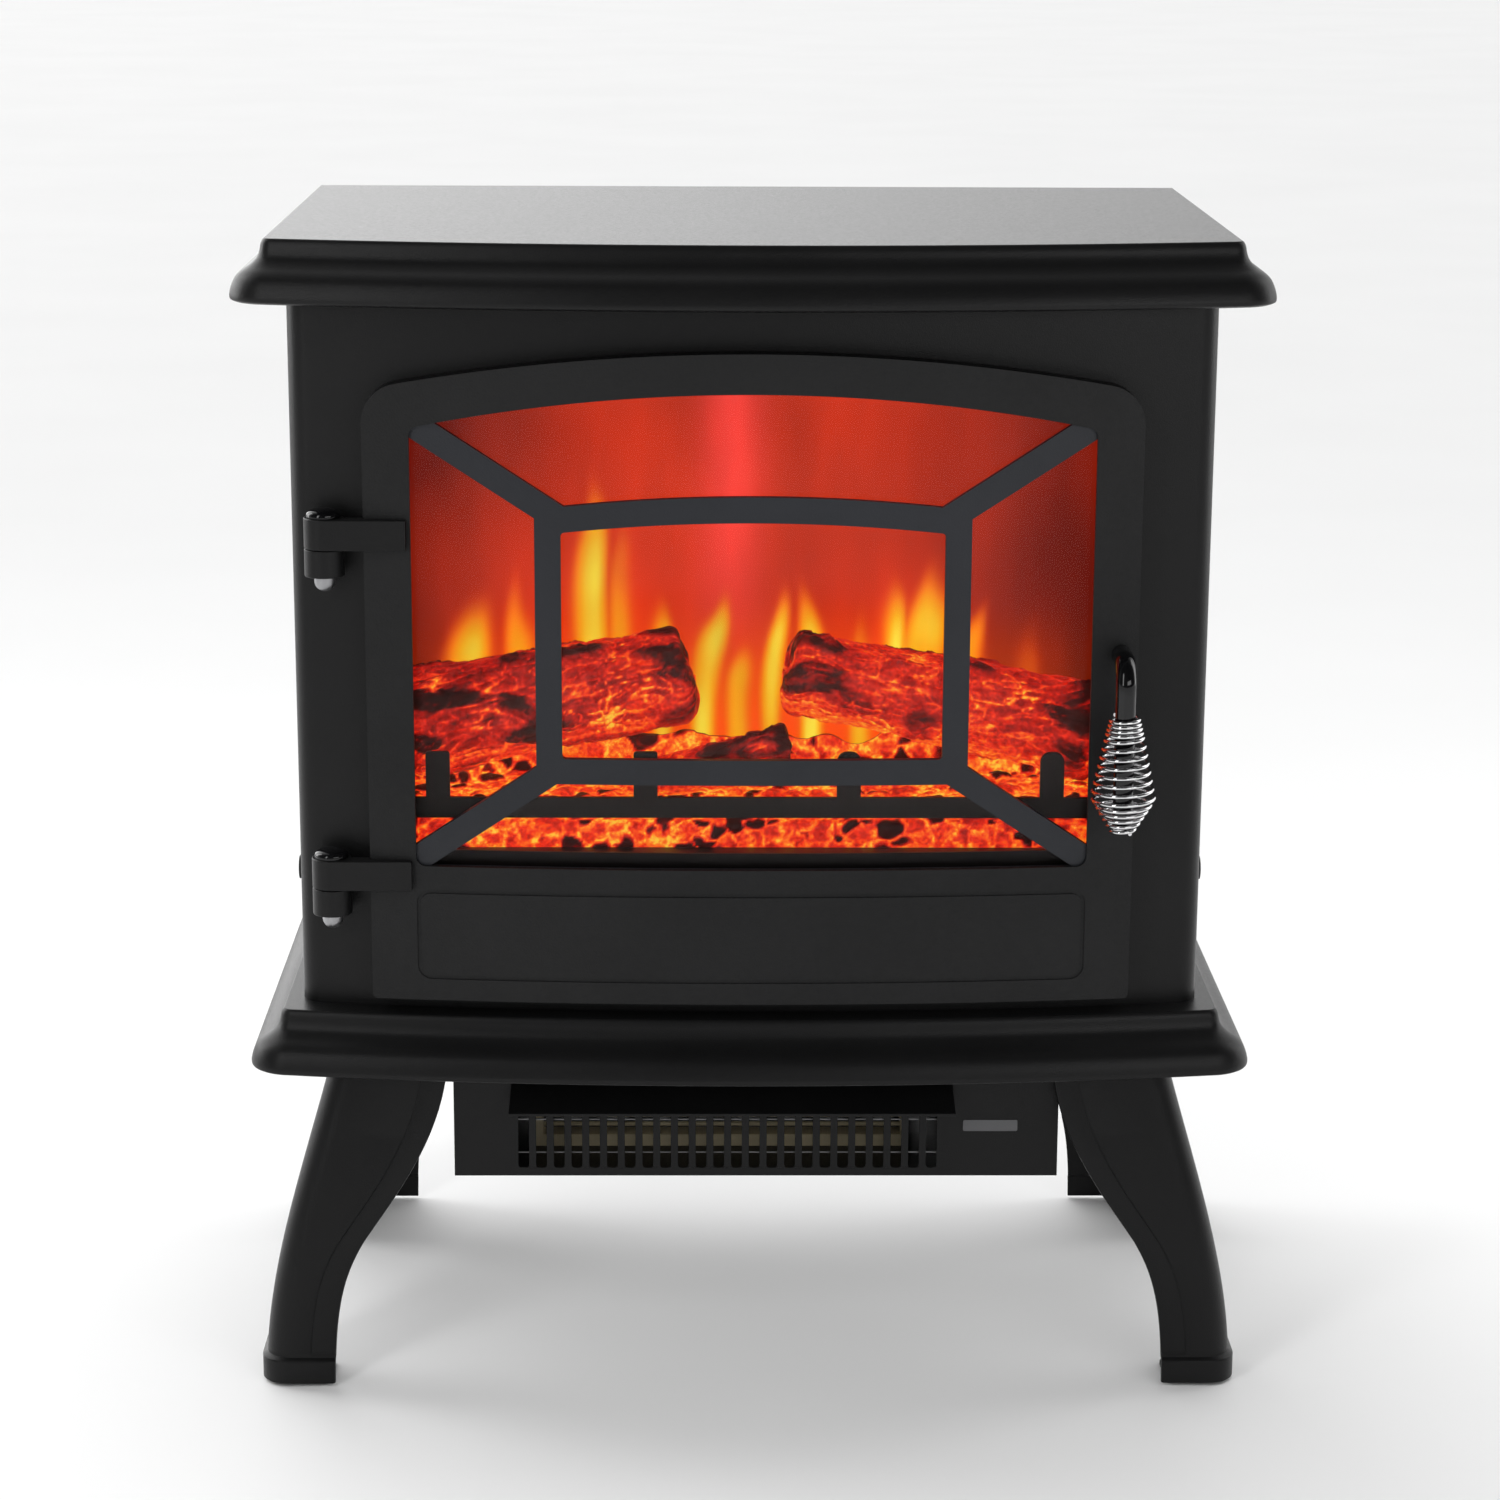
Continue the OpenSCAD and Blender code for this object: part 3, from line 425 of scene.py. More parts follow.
# ---------------------------------------------------------------- materials


class Nodes:
    """A material's node tree, with short ways to add and join its nodes."""

    def __init__(self, name):
        self.material = bpy.data.materials.new(name)
        self.material.use_nodes = True
        self.tree = self.material.node_tree
        self.tree.nodes.clear()
        self.out = self.add("ShaderNodeOutputMaterial")

    def add(self, kind, **inputs):
        """A new node, with values for its inputs by name, underscores standing for spaces."""
        node = self.tree.nodes.new(kind)
        for key, value in inputs.items():
            node.inputs[key.replace("_", " ")].default_value = value
        return node

    def link(self, a, b):
        self.tree.links.new(a, b)

    def noise(self, scale, detail=3.0, stretch=(1, 1, 1), roughness=0.55):
        """Noise in the frame's own metres."""
        coord = self.add("ShaderNodeTexCoord")
        place = self.add("ShaderNodeMapping")
        place.inputs["Scale"].default_value = stretch
        found = self.add("ShaderNodeTexNoise", Scale=scale, Detail=detail, Roughness=roughness)
        self.link(coord.outputs["Object"], place.inputs["Vector"])
        self.link(place.outputs[0], found.inputs["Vector"])
        return found.outputs["Fac"]

    def ramp(self, value, stops):
        """Colour that runs through the stops, each a place and a colour, as the value grows."""
        node = self.add("ShaderNodeValToRGB")
        points = node.color_ramp.elements
        points[0].position, points[0].color = stops[0][0], (*stops[0][1], 1)
        points[1].position, points[1].color = stops[-1][0], (*stops[-1][1], 1)
        for where, colour in stops[1:-1]:
            points.new(where).color = (*colour, 1)
        self.link(value, node.inputs[0])
        return node.outputs["Color"]

    def remap(self, value, low, high):
        """Spreads noise, which mostly lies from 0.3 to 0.7, over low to high."""
        node = self.add("ShaderNodeMapRange", From_Min=0.3, From_Max=0.7, To_Min=low, To_Max=high)
        self.link(value, node.inputs["Value"])
        return node.outputs[0]

    def bump(self, value, strength, distance):
        """A normal roughened by the value, up to the distance in metres."""
        node = self.add("ShaderNodeBump", Strength=strength, Distance=distance)
        self.link(value, node.inputs["Height"])
        return node.outputs[0]

    def attribute(self, name):
        """Reads what set_attribute stored on the points."""
        node = self.add("ShaderNodeAttribute")
        node.attribute_name = name
        return node

    def principled(self, **inputs):
        """The material's main shader."""
        shader = self.add("ShaderNodeBsdfPrincipled", **inputs)
        self.link(shader.outputs[0], self.out.inputs["Surface"])
        return shader


def shades(colour, spread):
    """A darker and a lighter shade of a colour."""
    return [tuple(c * (1 + d) for c in colour) for d in (-spread, spread)]


def surface(name, colour, rough, grain, relief, spread=0.12, rough_spread=0.07, **extra):
    """A finished surface: mottled colour, uneven gloss and a fine relief of the given grain."""
    n = Nodes(name)
    shader = n.principled(**extra)
    dark, light = shades(colour, spread)
    n.link(n.ramp(n.noise(14, 4), [(0.3, dark), (0.7, light)]), shader.inputs["Base Color"])
    fine = n.noise(grain, 3)
    gloss = n.noise(grain * 0.35, 3)
    n.link(n.remap(gloss, rough - rough_spread, rough + rough_spread), shader.inputs["Roughness"])
    n.link(n.bump(fine, relief, 0.0004), shader.inputs["Normal"])
    return n.material


def glass_material():
    """Clear glass: a faint warm tint seen through, and a sharp reflection that grows aslant."""
    n = Nodes("window_glass")
    clear = n.add("ShaderNodeBsdfTransparent")
    tint = n.ramp(n.noise(6, 2), [(0.3, (0.93, 0.9, 0.89)), (0.7, (0.96, 0.93, 0.92))])
    n.link(tint, clear.inputs["Color"])
    gloss = n.add("ShaderNodeBsdfGlossy")
    smear = n.noise(22, 3, (1, 1, 0.3))
    n.link(n.remap(smear, 0.015, 0.05), gloss.inputs["Roughness"])
    facing = n.add("ShaderNodeFresnel", IOR=1.14)
    mix = n.add("ShaderNodeMixShader")
    n.link(facing.outputs[0], mix.inputs[0])
    n.link(clear.outputs[0], mix.inputs[1])
    n.link(gloss.outputs[0], mix.inputs[2])
    n.link(mix.outputs[0], n.out.inputs["Surface"])
    return n.material


def flame_material():
    """Acrylic screen lit from behind: its own glow, softened by a faint drift."""
    n = Nodes("flame_screen")
    shader = n.principled(Roughness=0.35, Specular_IOR_Level=0.3)
    drift = n.remap(n.noise(30, 3, (1, 1, 0.25)), 0.82, 1.12)
    scale = n.add("ShaderNodeVectorMath")
    scale.operation = "SCALE"
    n.link(n.attribute("fire").outputs["Color"], scale.inputs[0])
    n.link(drift, scale.inputs["Scale"])
    n.link(scale.outputs[0], shader.inputs["Emission Color"])
    shader.inputs["Emission Strength"].default_value = 1.0
    n.link(n.ramp(n.noise(40, 2), [(0.3, (0.03, 0.004, 0.002)), (0.7, (0.05, 0.006, 0.003))]),
           shader.inputs["Base Color"])
    n.link(n.bump(n.noise(60, 1), 0.05, 0.0003), shader.inputs["Normal"])
    return n.material


def glowing_material(name, bark, strength):
    """Painted resin lit from within: dark skin, and a glow that follows the cracks."""
    n = Nodes(name)
    shader = n.principled(Specular_IOR_Level=0.35)
    dark, light = shades(bark, 0.55)
    n.link(n.ramp(n.noise(120, 5), [(0.35, dark), (0.65, light)]), shader.inputs["Base Color"])
    n.link(n.remap(n.noise(300, 3), 0.5, 0.8), shader.inputs["Roughness"])
    heat = n.attribute("glow").outputs["Fac"]
    waver = n.add("ShaderNodeMath")
    waver.operation = "MULTIPLY"
    n.link(heat, waver.inputs[0])
    n.link(n.remap(n.noise(420, 4), 0.72, 1.25), waver.inputs[1])
    glow = n.ramp(waver.outputs[0], [
        (0.0, (0.004, 0.001, 0.001)), (0.18, (0.035, 0.002, 0.002)), (0.4, (0.4, 0.006, 0.004)),
        (0.6, (0.9, 0.03, 0.008)), (0.8, (1.0, 0.19, 0.012)), (1.0, (1.0, 0.6, 0.05))])
    n.link(glow, shader.inputs["Emission Color"])
    shader.inputs["Emission Strength"].default_value = strength
    n.link(n.bump(n.noise(700, 4), 0.6, 0.0006), shader.inputs["Normal"])
    return n.material


def floor_material():
    """Plain pale floor, nearly white."""
    n = Nodes("floor")
    shader = n.principled(Roughness=0.75, Specular_IOR_Level=0.2)
    n.link(n.ramp(n.noise(2, 2), [(0.3, (0.84, 0.84, 0.84)), (0.7, (0.86, 0.86, 0.86))]),
           shader.inputs["Base Color"])
    return n.material


MATERIALS = {
    "cabinet_paint": surface("cabinet_paint", (0.0068, 0.0068, 0.007), 0.36, 1500, 0.3, rough_spread=0.03,
                             Specular_IOR_Level=0.2),
    "door_paint": surface("door_paint", (0.0115, 0.0116, 0.0119), 0.5, 900, 0.5, spread=0.15,
                          Specular_IOR_Level=0.2),
    "grille_paint": surface("grille_paint", (0.017, 0.0185, 0.023), 0.42, 1000, 0.25,
                            Specular_IOR_Level=0.3),
    "window_glass": glass_material(),
    "gloss_black": surface("gloss_black", (0.004, 0.004, 0.0045), 0.08, 300, 0.02, rough_spread=0.02,
                           Specular_IOR_Level=0.3, Coat_Weight=0.15, Coat_Roughness=0.04),
    "spring_chrome": surface("spring_chrome", (0.72, 0.72, 0.73), 0.1, 900, 0.05, spread=0.04,
                             rough_spread=0.04, Metallic=1.0),
    "zinc": surface("zinc", (0.33, 0.33, 0.34), 0.38, 700, 0.25, Metallic=1.0),
    "black_screws": surface("black_screws", (0.03, 0.03, 0.031), 0.38, 900, 0.2, Metallic=0.6),
    "black_plastic": surface("black_plastic", (0.014, 0.014, 0.0145), 0.45, 1300, 0.35),
    "red_plastic": surface("red_plastic", (0.45, 0.018, 0.012), 0.22, 900, 0.08, Coat_Weight=0.3),
    "foot_rubber": surface("foot_rubber", (0.012, 0.012, 0.012), 0.8, 800, 0.6),
    "screen_acrylic": flame_material(),
    "ember_resin": glowing_material("ember_resin", (0.02, 0.011, 0.009), 1.05),
    "log_resin": glowing_material("log_resin", (0.03, 0.016, 0.012), 1.0),
    "grate_black": surface("grate_black", (0.006, 0.006, 0.006), 0.6, 600, 0.4),
    "foil": surface("foil", (0.85, 0.85, 0.87), 0.16, 90, 0.6, Metallic=1.0),
    "circuit_board": surface("circuit_board", (0.015, 0.11, 0.04), 0.3, 500, 0.1, spread=0.3),
    "mica": surface("mica", (0.6, 0.52, 0.34), 0.4, 160, 0.5, spread=0.25),
    "label_grey": surface("label_grey", (0.1, 0.1, 0.105), 0.4, 700, 0.1),
}

# ---------------------------------------------------------------- pressed mouldings


# Ogee edge, as (inset from the widest edge, drop below the flat)
OGEE = [(MOULDING_IN - 0.5, 0), (MOULDING_IN - 1.5, 0.8), (15.6, 2.8), (14.9, 6.2), (13.3, 9.6), (9.8, 12.8),
        (6, 15.3), (3, 18.3), (1.1, 22.3), (0.2, 25.6), (0, 27.4), (0.5, 29), (3, MOULDING_H)]


def ogee():
    """The ogee's points joined by smooth curves, two more on each stretch."""
    points = [np.array(p, float) for p in OGEE]
    found = []
    for i in range(len(points) - 1):
        a, b = points[i], points[i + 1]
        before, after = points[max(i - 1, 0)], points[min(i + 2, len(points) - 1)]
        for t in (0, 1 / 3, 2 / 3):
            pull_a, pull_b = (b - before) / 2, (after - a) / 2
            spot = a * (2 * t ** 3 - 3 * t * t + 1) + b * (3 * t * t - 2 * t ** 3)
            spot = spot + pull_a * (t ** 3 - 2 * t * t + t) + pull_b * (t ** 3 - t * t)
            found.append((max(float(spot[0]), 0.0), max(float(spot[1]), 0.0)))
    return found + [OGEE[-1]]


def bowed_plan(half, r, cy, rc, back, steps):
    """Plan with a bowed front, rounded front corners and a straight back, from the right side."""
    cx = half - rc
    ky = cy - math.sqrt((r - rc) ** 2 - cx * cx)
    phi = math.degrees(math.atan2(cy - ky, cx))
    front = arc(0, cy, r, -phi, phi - 180, steps)[1:-1]
    sides = [(half, y) for y in np.linspace(back, ky, 9)]
    other = [(-x, y) for x, y in reversed(sides)]
    right, left = arc(cx, ky, rc, 0, -phi, 14), arc(-cx, ky, rc, phi - 180, -180, 14)
    return sides[:-1] + right + front + left + other[1:]


def sheet_inside(outer):
    """The profile of a sheet's inner face, its thickness away from the outer one."""
    inner = []
    for i in range(len(outer) - 1, -1, -1):
        a, b = Vector(outer[max(i - 1, 0)]), Vector(outer[min(i + 1, len(outer) - 1)])
        d = (b - a).normalized()
        into = (d.y, -d.x)
        if i == 0:
            into = (1, 1)
        if i == len(outer) - 1:
            into = (1, 0)
        inner.append((outer[i][0] + MOULDING_T * into[0], outer[i][1] + MOULDING_T * into[1]))
    return inner


def moulding(name, node, r, cy, z):
    """Pressed sheet tray with an ogee edge, as one closed skin."""
    outer = ogee()
    rings = []
    for points, back in ((outer, BACK_Y), (sheet_inside(outer), BACK_Y - MOULDING_T)):
        for inset, drop in points:
            corner = max(MOULDING_CORNER - inset, 2)
            plan = bowed_plan(OVERALL_W / 2 - inset, r - inset, cy, corner, back, 90)
            rings.append([(x, y, z - drop) for x, y in plan])
    piece = add_object(name, *skin(rings), "cabinet", "cabinet_paint", node, angle=40)
    normals = piece.modifiers.new("Normals", "WEIGHTED_NORMAL")
    normals.keep_sharp = True


# ---------------------------------------------------------------- cabinet


def plan_path():
    """The cabinet's outer plan as a fine path from the crown to the back, with its lengths."""
    plan = bowed_plan(CABINET_W / 2, CABINET_R, ARC_Y, CABINET_CORNER, CABINET_BACK, 160)
    right = [p for p in plan if p[0] >= 0][::-1]
    if abs(right[0][0]) > 1e-6:
        right.insert(0, (0.0, ARC_Y - CABINET_R))
    points = np.array(right + [(CABINET_W / 2 - BACK_FLANGE, CABINET_BACK)])
    steps = np.linalg.norm(np.diff(points, axis=0), axis=1)
    return points, np.concatenate([[0], np.cumsum(steps)])


def wrapped(points, lengths):
    """Places a flat point on the cabinet's plan, depth inside its outer face."""

    def place(u, z, depth):
        s = min(abs(u), lengths[-1] - 1e-6)
        i = int(np.searchsorted(lengths, s, side="right")) - 1
        a, b = points[i], points[i + 1]
        t = (s - lengths[i]) / (lengths[i + 1] - lengths[i])
        d = (b - a) / np.linalg.norm(b - a)
        x, y = a + (b - a) * t + np.array([-d[1], d[0]]) * depth
        return (x if u >= 0 else -x, y, z)

    return place


def cabinet_shell():
    """One wrapped sheet: bowed front, rounded corners, sides and narrow back flanges."""
    points, lengths = plan_path()
    reach = lengths[-1]
    outline = [(-reach, BASE_Z), (reach, BASE_Z), (reach, CABINET_TOP), (-reach, CABINET_TOP)]
    window = arch_outline(176, 286.5, 524, 860, 12, 5)
    recess = rounded_rect(-119.8, 119.8, 223.2, 264.8, 4)
    flat_end = 212
    turns = np.concatenate([np.arange(4, flat_end, 8), lengths[lengths > flat_end]])
    cuts = [side * v for side in (-1, 1) for v in turns if v < reach - 0.01]
    verts, faces, _ = plate([outline, window, recess], outer_only, SHEET, wrapped(points, lengths), cuts)
    add_object("CabinetShell", verts, faces, "cabinet", "cabinet_paint", "cabinet_shell", angle=25)


# ---------------------------------------------------------------- legs


def bezier(p, t):
    """Point at t, from 0 to 1, of the cubic curve with four control points."""
    weights = ((1 - t) ** 3, 3 * t * (1 - t) ** 2, 3 * t * t * (1 - t), t ** 3)
    return sum(np.array(q) * w for q, w in zip(p, weights))


# Curves of a leg's edges, as (distance out from the middle or back from the corner, height)
LEG_OUTER = [(249.5, 18), (246, 62), (226, 112), (212.5, 177)]
LEG_FRONT = [(12, 18), (13, 62), (24, 112), (28, 177)]
LEG_KNEE = [(213.5, 2), (213, 40), (209, 58), (198, 76.5)]
LEG_THIGH = [(198, 76.5), (184, 98), (158, 128), (154.5, 168)]
TOE_Z = 15.0
STRIP_W = 12.5
STRIP_DEPTH = 0.9


def leg_row(t):
    """Height, inner edge, outer edge and front face of a leg, t running from foot 0 to thigh 2."""
    inner = bezier(LEG_KNEE, t) if t < 1 else bezier(LEG_THIGH, t - 1)
    z = inner[1]
    s = min(max((z - 18) / 159, 0), 1)
    u = s - 0.06 * math.sin(math.pi * s)
    toe = 1 - float(smoothstep(TOE_Z - 1.2, TOE_Z + 0.6, z))
    return z, inner[0], bezier(LEG_OUTER, s)[0] + 2.5 * toe, bezier(LEG_FRONT, u)[0] - 2 * toe


def leg_section(row, lift):
    """L-shaped section whose free edges are set back in a narrow strip, with rounded rims."""
    z, xi, xo, yf = row
    xi -= lift
    yb = yf + xo - xi
    step = STRIP_DEPTH * float(smoothstep(TOE_Z + 1.5, TOE_Z + 3.0, z))
    rc, ri = LEG_CORNER, LEG_CORNER - LEG_WALL
    front = [(xi + 0.05, yf + 1.2 + step), (xi + 0.4, yf + 0.4 + step), (xi + 1.2, yf + step),
             (xi + STRIP_W, yf + step), (xi + STRIP_W + 0.5, yf + 0.5 * step), (xi + STRIP_W + 1.1, yf)]
    side = [(yf - y + xo, xo - x + yf) for x, y in reversed(front)]
    inside = arc(xo - rc, yf + rc, ri, 0, -90, 10)
    points = front + arc(xo - rc, yf + rc, rc, -90, 0, 14) + side
    points += [(xo - LEG_WALL, yb)] + inside + [(xi, yf + LEG_WALL)]
    return [(x, y, z) for x, y in points]


def leg(name, node, side, rear):
    """One splayed leg; side is -1 at the stove's left, and a rear one is turned front to back."""
    steps = np.concatenate([[0, 0.1, 0.104], np.linspace(0.108, 0.16, 10), np.linspace(0.2, 1, 16),
                            np.linspace(1.05, 2, 20)])
    rows = [(leg_row(t), min(1, (2.1 - t) / 1.5)) for t in steps]
    rows.append(((LEG_TOP + 3, 154.5, 211, 28.5), 0.0))
    lift = REAR_FOOT_LIFT if rear else 0.0
    rings = []
    for row, share in rows:
        ring = leg_section(row, lift * share)
        rings.append([(side * x, (BACK_Y - y) if rear else (CORNER_Y + y), z) for x, y, z in ring])
    add_object(name, *skin(rings), "cabinet", "cabinet_paint", node, angle=40)


# ---------------------------------------------------------------- door


# Places across the door where its flat outlines are cut, so that they can be bowed
STRIPS = list(np.arange(-198, 200, 6.0))


def door_edge(inset):
    """The door's outline, moved in by inset."""
    half, z0, crown = DOOR_HALF - inset, DOOR_Z0 + inset, DOOR_CROWN - inset
    return arch_outline(half, z0, crown, DOOR_ARCH_R - inset, 20 - inset, 2.5)


def window_edge(grow):
    """The window's outline, moved out by grow."""
    half, z0, crown = WINDOW_HALF + grow, WINDOW_Z0 - grow, WINDOW_CROWN + grow
    return arch_outline(half, z0, crown, WINDOW_ARCH_R + grow, 5 + grow, 5 + grow)


def door_frame():
    """Bowed door skin with its returned rim, and the fine grooved panel under the window."""
    groove = rounded_rect(-166.5, 166.5, 222.5, 269, 7)
    panel = rounded_rect(-164.5, 164.5, 224.5, 267, 5)
    outlines = [door_edge(0), window_edge(0), groove, panel]

    def level(owners):
        if 0 not in owners or 1 in owners:
            return None
        return GROOVE_DEPTH if 2 in owners and 3 not in owners else 0.0

    add_plate("DoorSkin", plate(outlines, level, DOOR_SKIN_T, bowed(DOOR_R), STRIPS), 1.3,
              "door", "door_paint", "door_frame", segments=4)
    rim_front = DOOR_SKIN_T - 0.1
    verts, faces, _ = plate([door_edge(0), door_edge(RIM_T)], outer_only, DOOR_DEPTH - rim_front,
                            bowed(DOOR_R - rim_front), STRIPS)
    add_object("DoorRim", verts, faces, "door", "door_paint")


def bar(a, b, width):
    """Outline of a straight bar between two points."""
    a, b = Vector(a), Vector(b)
    d = (b - a).normalized()
    n = Vector((-d.y, d.x)) * width / 2
    return [tuple(p) for p in (a + n, a - n, b - n, b + n)]


def window_grille():
    """Arched ring of bars with a diagonal to each corner, as one soft-edged casting."""
    ring = arch_outline(RING_HALF, RING_Z0, RING_CROWN, RING_ARCH_R, 3, 3)
    hole = arch_outline(RING_HALF - BAR_W, RING_Z0 + BAR_W, RING_CROWN - BAR_W, RING_ARCH_R, 2, 2)
    ends = ((94.3, 456.7, 507.1), (94.4, 333.0, 279.4))
    bars = [bar((sx * x, z0), (sx * 173, z1), BAR_W) for sx in (-1, 1) for x, z0, z1 in ends]
    outlines = [window_edge(0.6), ring, hole, *bars]

    def level(owners):
        shown = (1 in owners or owners & {3, 4, 5, 6}) and 2 not in owners and 0 in owners
        return 0.0 if shown else None

    add_plate("WindowGrille", plate(outlines, level, 4.0, bowed(DOOR_R - 2), STRIPS), 1.1,
              "door", "grille_paint", "window_grille")
    edges = [window_edge(7.5), window_edge(0.4)]
    verts, faces, _ = plate(edges, outer_only, 2.9, bowed(DOOR_R - 3.1), STRIPS)
    add_object("GrilleBorder", verts, faces, "door", "grille_paint")


def door_glass():
    """Bowed pane behind the grille."""
    verts, faces, _ = plate([window_edge(8)], outer_only, 2.9, bowed(DOOR_R - 6.05), STRIPS)
    add_object("DoorGlass", verts, faces, "door", "window_glass", "door_glass")


# ---------------------------------------------------------------- handle


def handle_rod():
    """Round rod out of the door, bent down into the spring grip."""
    y_bend, z_bend = HANDLE_Y + BEND_R, HANDLE_Z - BEND_R
    path = [(HANDLE_X, y, HANDLE_Z) for y in np.linspace(-121.6, y_bend, 8)]
    path += [(HANDLE_X, y_bend - BEND_R * math.sin(a), z_bend + BEND_R * math.cos(a))
             for a in np.radians(np.arange(6, 91, 6))]
    path += [(HANDLE_X, HANDLE_Y, z) for z in np.linspace(z_bend - 3, GRIP_FOOT, 14)]
    add_object("HandleRod", *tube(path, ROD_R, 32), "handle", "gloss_black", "handle_rod")


def handle_coil():
    """Spring grip wound from one wire: a closed neck, open turns, and a cone at the foot."""
    heights = [304.2, 320.5, 353.5, 363.2]
    turns = [0, 5.3, 13, 17.4]
    radii_at = [304.0, 305.5, 322.5, 353.0, 364.0]
    radii = [3.8, 5.2, COIL_WIDEST_R - COIL_WIRE_R, 9.1, 6.4]
    path = []
    for turn in np.arange(0, turns[-1], 1 / 40):
        z = float(np.interp(turn, turns, heights))
        r = float(np.interp(z, radii_at, radii))
        a = 2 * math.pi * turn
        path.append((HANDLE_X + r * math.cos(a), HANDLE_Y + r * math.sin(a), z))
    add_object("HandleCoil", *tube(path, COIL_WIRE_R, 12), "handle", "spring_chrome", "handle_coil")


# ---------------------------------------------------------------- fire

# Each flame: foot x, tip height, half width at its foot, lean to the tip, brightness
FLAMES = [
    (-152, 402, 17, 16, 0.78), (-122, 420, 12, 2, 0.66), (-83, 474, 13, 2, 1.0), (-66, 452, 13, 0, 0.74),
    (-46, 402, 9, -1, 0.82), (-24, 404, 11, 13, 0.9), (-6, 372, 12, 2, 0.7), (11, 408, 9, 8, 0.84),
    (33, 412, 10, -7, 0.9), (58, 396, 10, 5, 0.6), (76, 414, 9, 0, 0.84), (90, 424, 19, 12, 1.0),
    (112, 398, 12, 13, 0.7), (146, 392, 14, 6, 0.35),
]
FLAME_FOOT = 322.0
# Red, green and blue of a flame at each stop of its heat
FLAME_STOPS = [0, 0.25, 0.5, 0.75, 1.0]
FLAME_CHANNELS = [
    (0.7, 0.9, 1.0, 1.0, 1.0),
    (0.03, 0.09, 0.22, 0.48, 0.8),
    (0.004, 0.004, 0.004, 0.01, 0.06),
]


def haze(x, z, drift):
    """The screen's red background, a pink column in it and a warm band low down."""
    deep, hot = np.array([0.15, 0.006, 0.002]), np.array([0.78, 0.036, 0.003])
    level = smoothstep(185, 60, np.abs(x + 8)) * (0.62 + 0.5 * smoothstep(500, 360, z)) + 0.5 * drift
    colour = deep + (hot - deep) * np.clip(level, 0, 1.15)[:, None]
    column = np.exp(-(((x + 9 - 5 * drift) / 15) ** 2)) * smoothstep(350, 430, z)
    colour += column[:, None] * np.array([0.42, 0.028, 0.036])
    low = smoothstep(395, 330, z) * np.exp(-((x / 150) ** 4))
    return colour + low[:, None] * np.array([0.25, 0.05, 0.0])


def flame_heat(x, z, fine):
    """How hot the flames are at points x, z: tongues that lean, taper and fade to their tips."""
    heat = np.zeros_like(x)
    for foot, tip, half, lean, power in FLAMES:
        t = np.clip((z - FLAME_FOOT) / (tip + 6 - FLAME_FOOT), 0, 1)
        middle = foot + lean * t * t + 9 * fine * t
        width = half * (1 - t ** 3) ** 0.7 * (1.0 + 0.25 * np.sin(math.pi * t)) + 1.5
        core = np.clip(1 - np.abs(x - middle) / width, 0, 1)
        fade = smoothstep(0, 0.55, 1 - t) * (0.9 + 0.45 * fine)
        heat = np.maximum(heat, power * smoothstep(0, 0.95, core) ** 1.4 * fade)
        heat = heat + 0.11 * power * np.exp(-(((x - middle) / (half * 2.2)) ** 2)) * (1 - t)
    return np.clip(heat, 0, 1)


def fire_colours(x, z):
    """Colour of the lit screen at points x, z: flames over the haze."""
    drift = np.array([noise.noise(Vector((a * 0.018, b * 0.009, 3.1))) for a, b in zip(x, z)])
    fine = np.array([noise.noise(Vector((a * 0.06, b * 0.022, 7.7))) for a, b in zip(x, z)])
    heat = flame_heat(x, z, fine)
    channels = [np.interp(heat, FLAME_STOPS, channel) for channel in FLAME_CHANNELS]
    share = smoothstep(0.03, 0.6, heat)[:, None]
    return haze(x, z, drift) * (1 - share) + np.stack(channels, axis=1) * share


def flame_screen():
    """The screen as a fine sheet, with its fire stored on its points."""
    xs = np.arange(SCREEN_LOW.x + 0.5, SCREEN_HIGH.x, 2.0)
    zs = np.arange(SCREEN_LOW.z + 0.5, SCREEN_HIGH.z, 2.0)
    rows = [(SCREEN_LOW.y, z) for z in zs] + [(SCREEN_HIGH.y, z) for z in zs[::-1]]
    rings = [[(x, y, z) for y, z in rows] for x in xs]
    verts, faces = skin(rings)
    piece = add_object("FlameScreen", verts, faces, "cabinet", "screen_acrylic", "flame_screen")
    at = np.array(verts)
    colours = fire_colours(at[:, 0], at[:, 2])
    back_face = at[:, 1] > SCREEN_LOW.y + 1
    colours[back_face] *= 0.5
    set_attribute(piece, "fire", np.concatenate([colours, np.ones((len(at), 1))], axis=1))


LOG_SIDES = 150
LOG_STEP = 1.1
BARK_T = 2.2
COAL_STEP = 1.3


def cells(p):
    """Distance to the nearest two cell centres, and a steady random number for the cell."""
    distances, points = noise.voronoi(p)
    centre = points[0]
    mark = math.sin(centre.x * 127.1 + centre.y * 311.7 + centre.z * 74.7) * 43758.5453
    return distances[0], distances[1] - distances[0], mark - math.floor(mark)


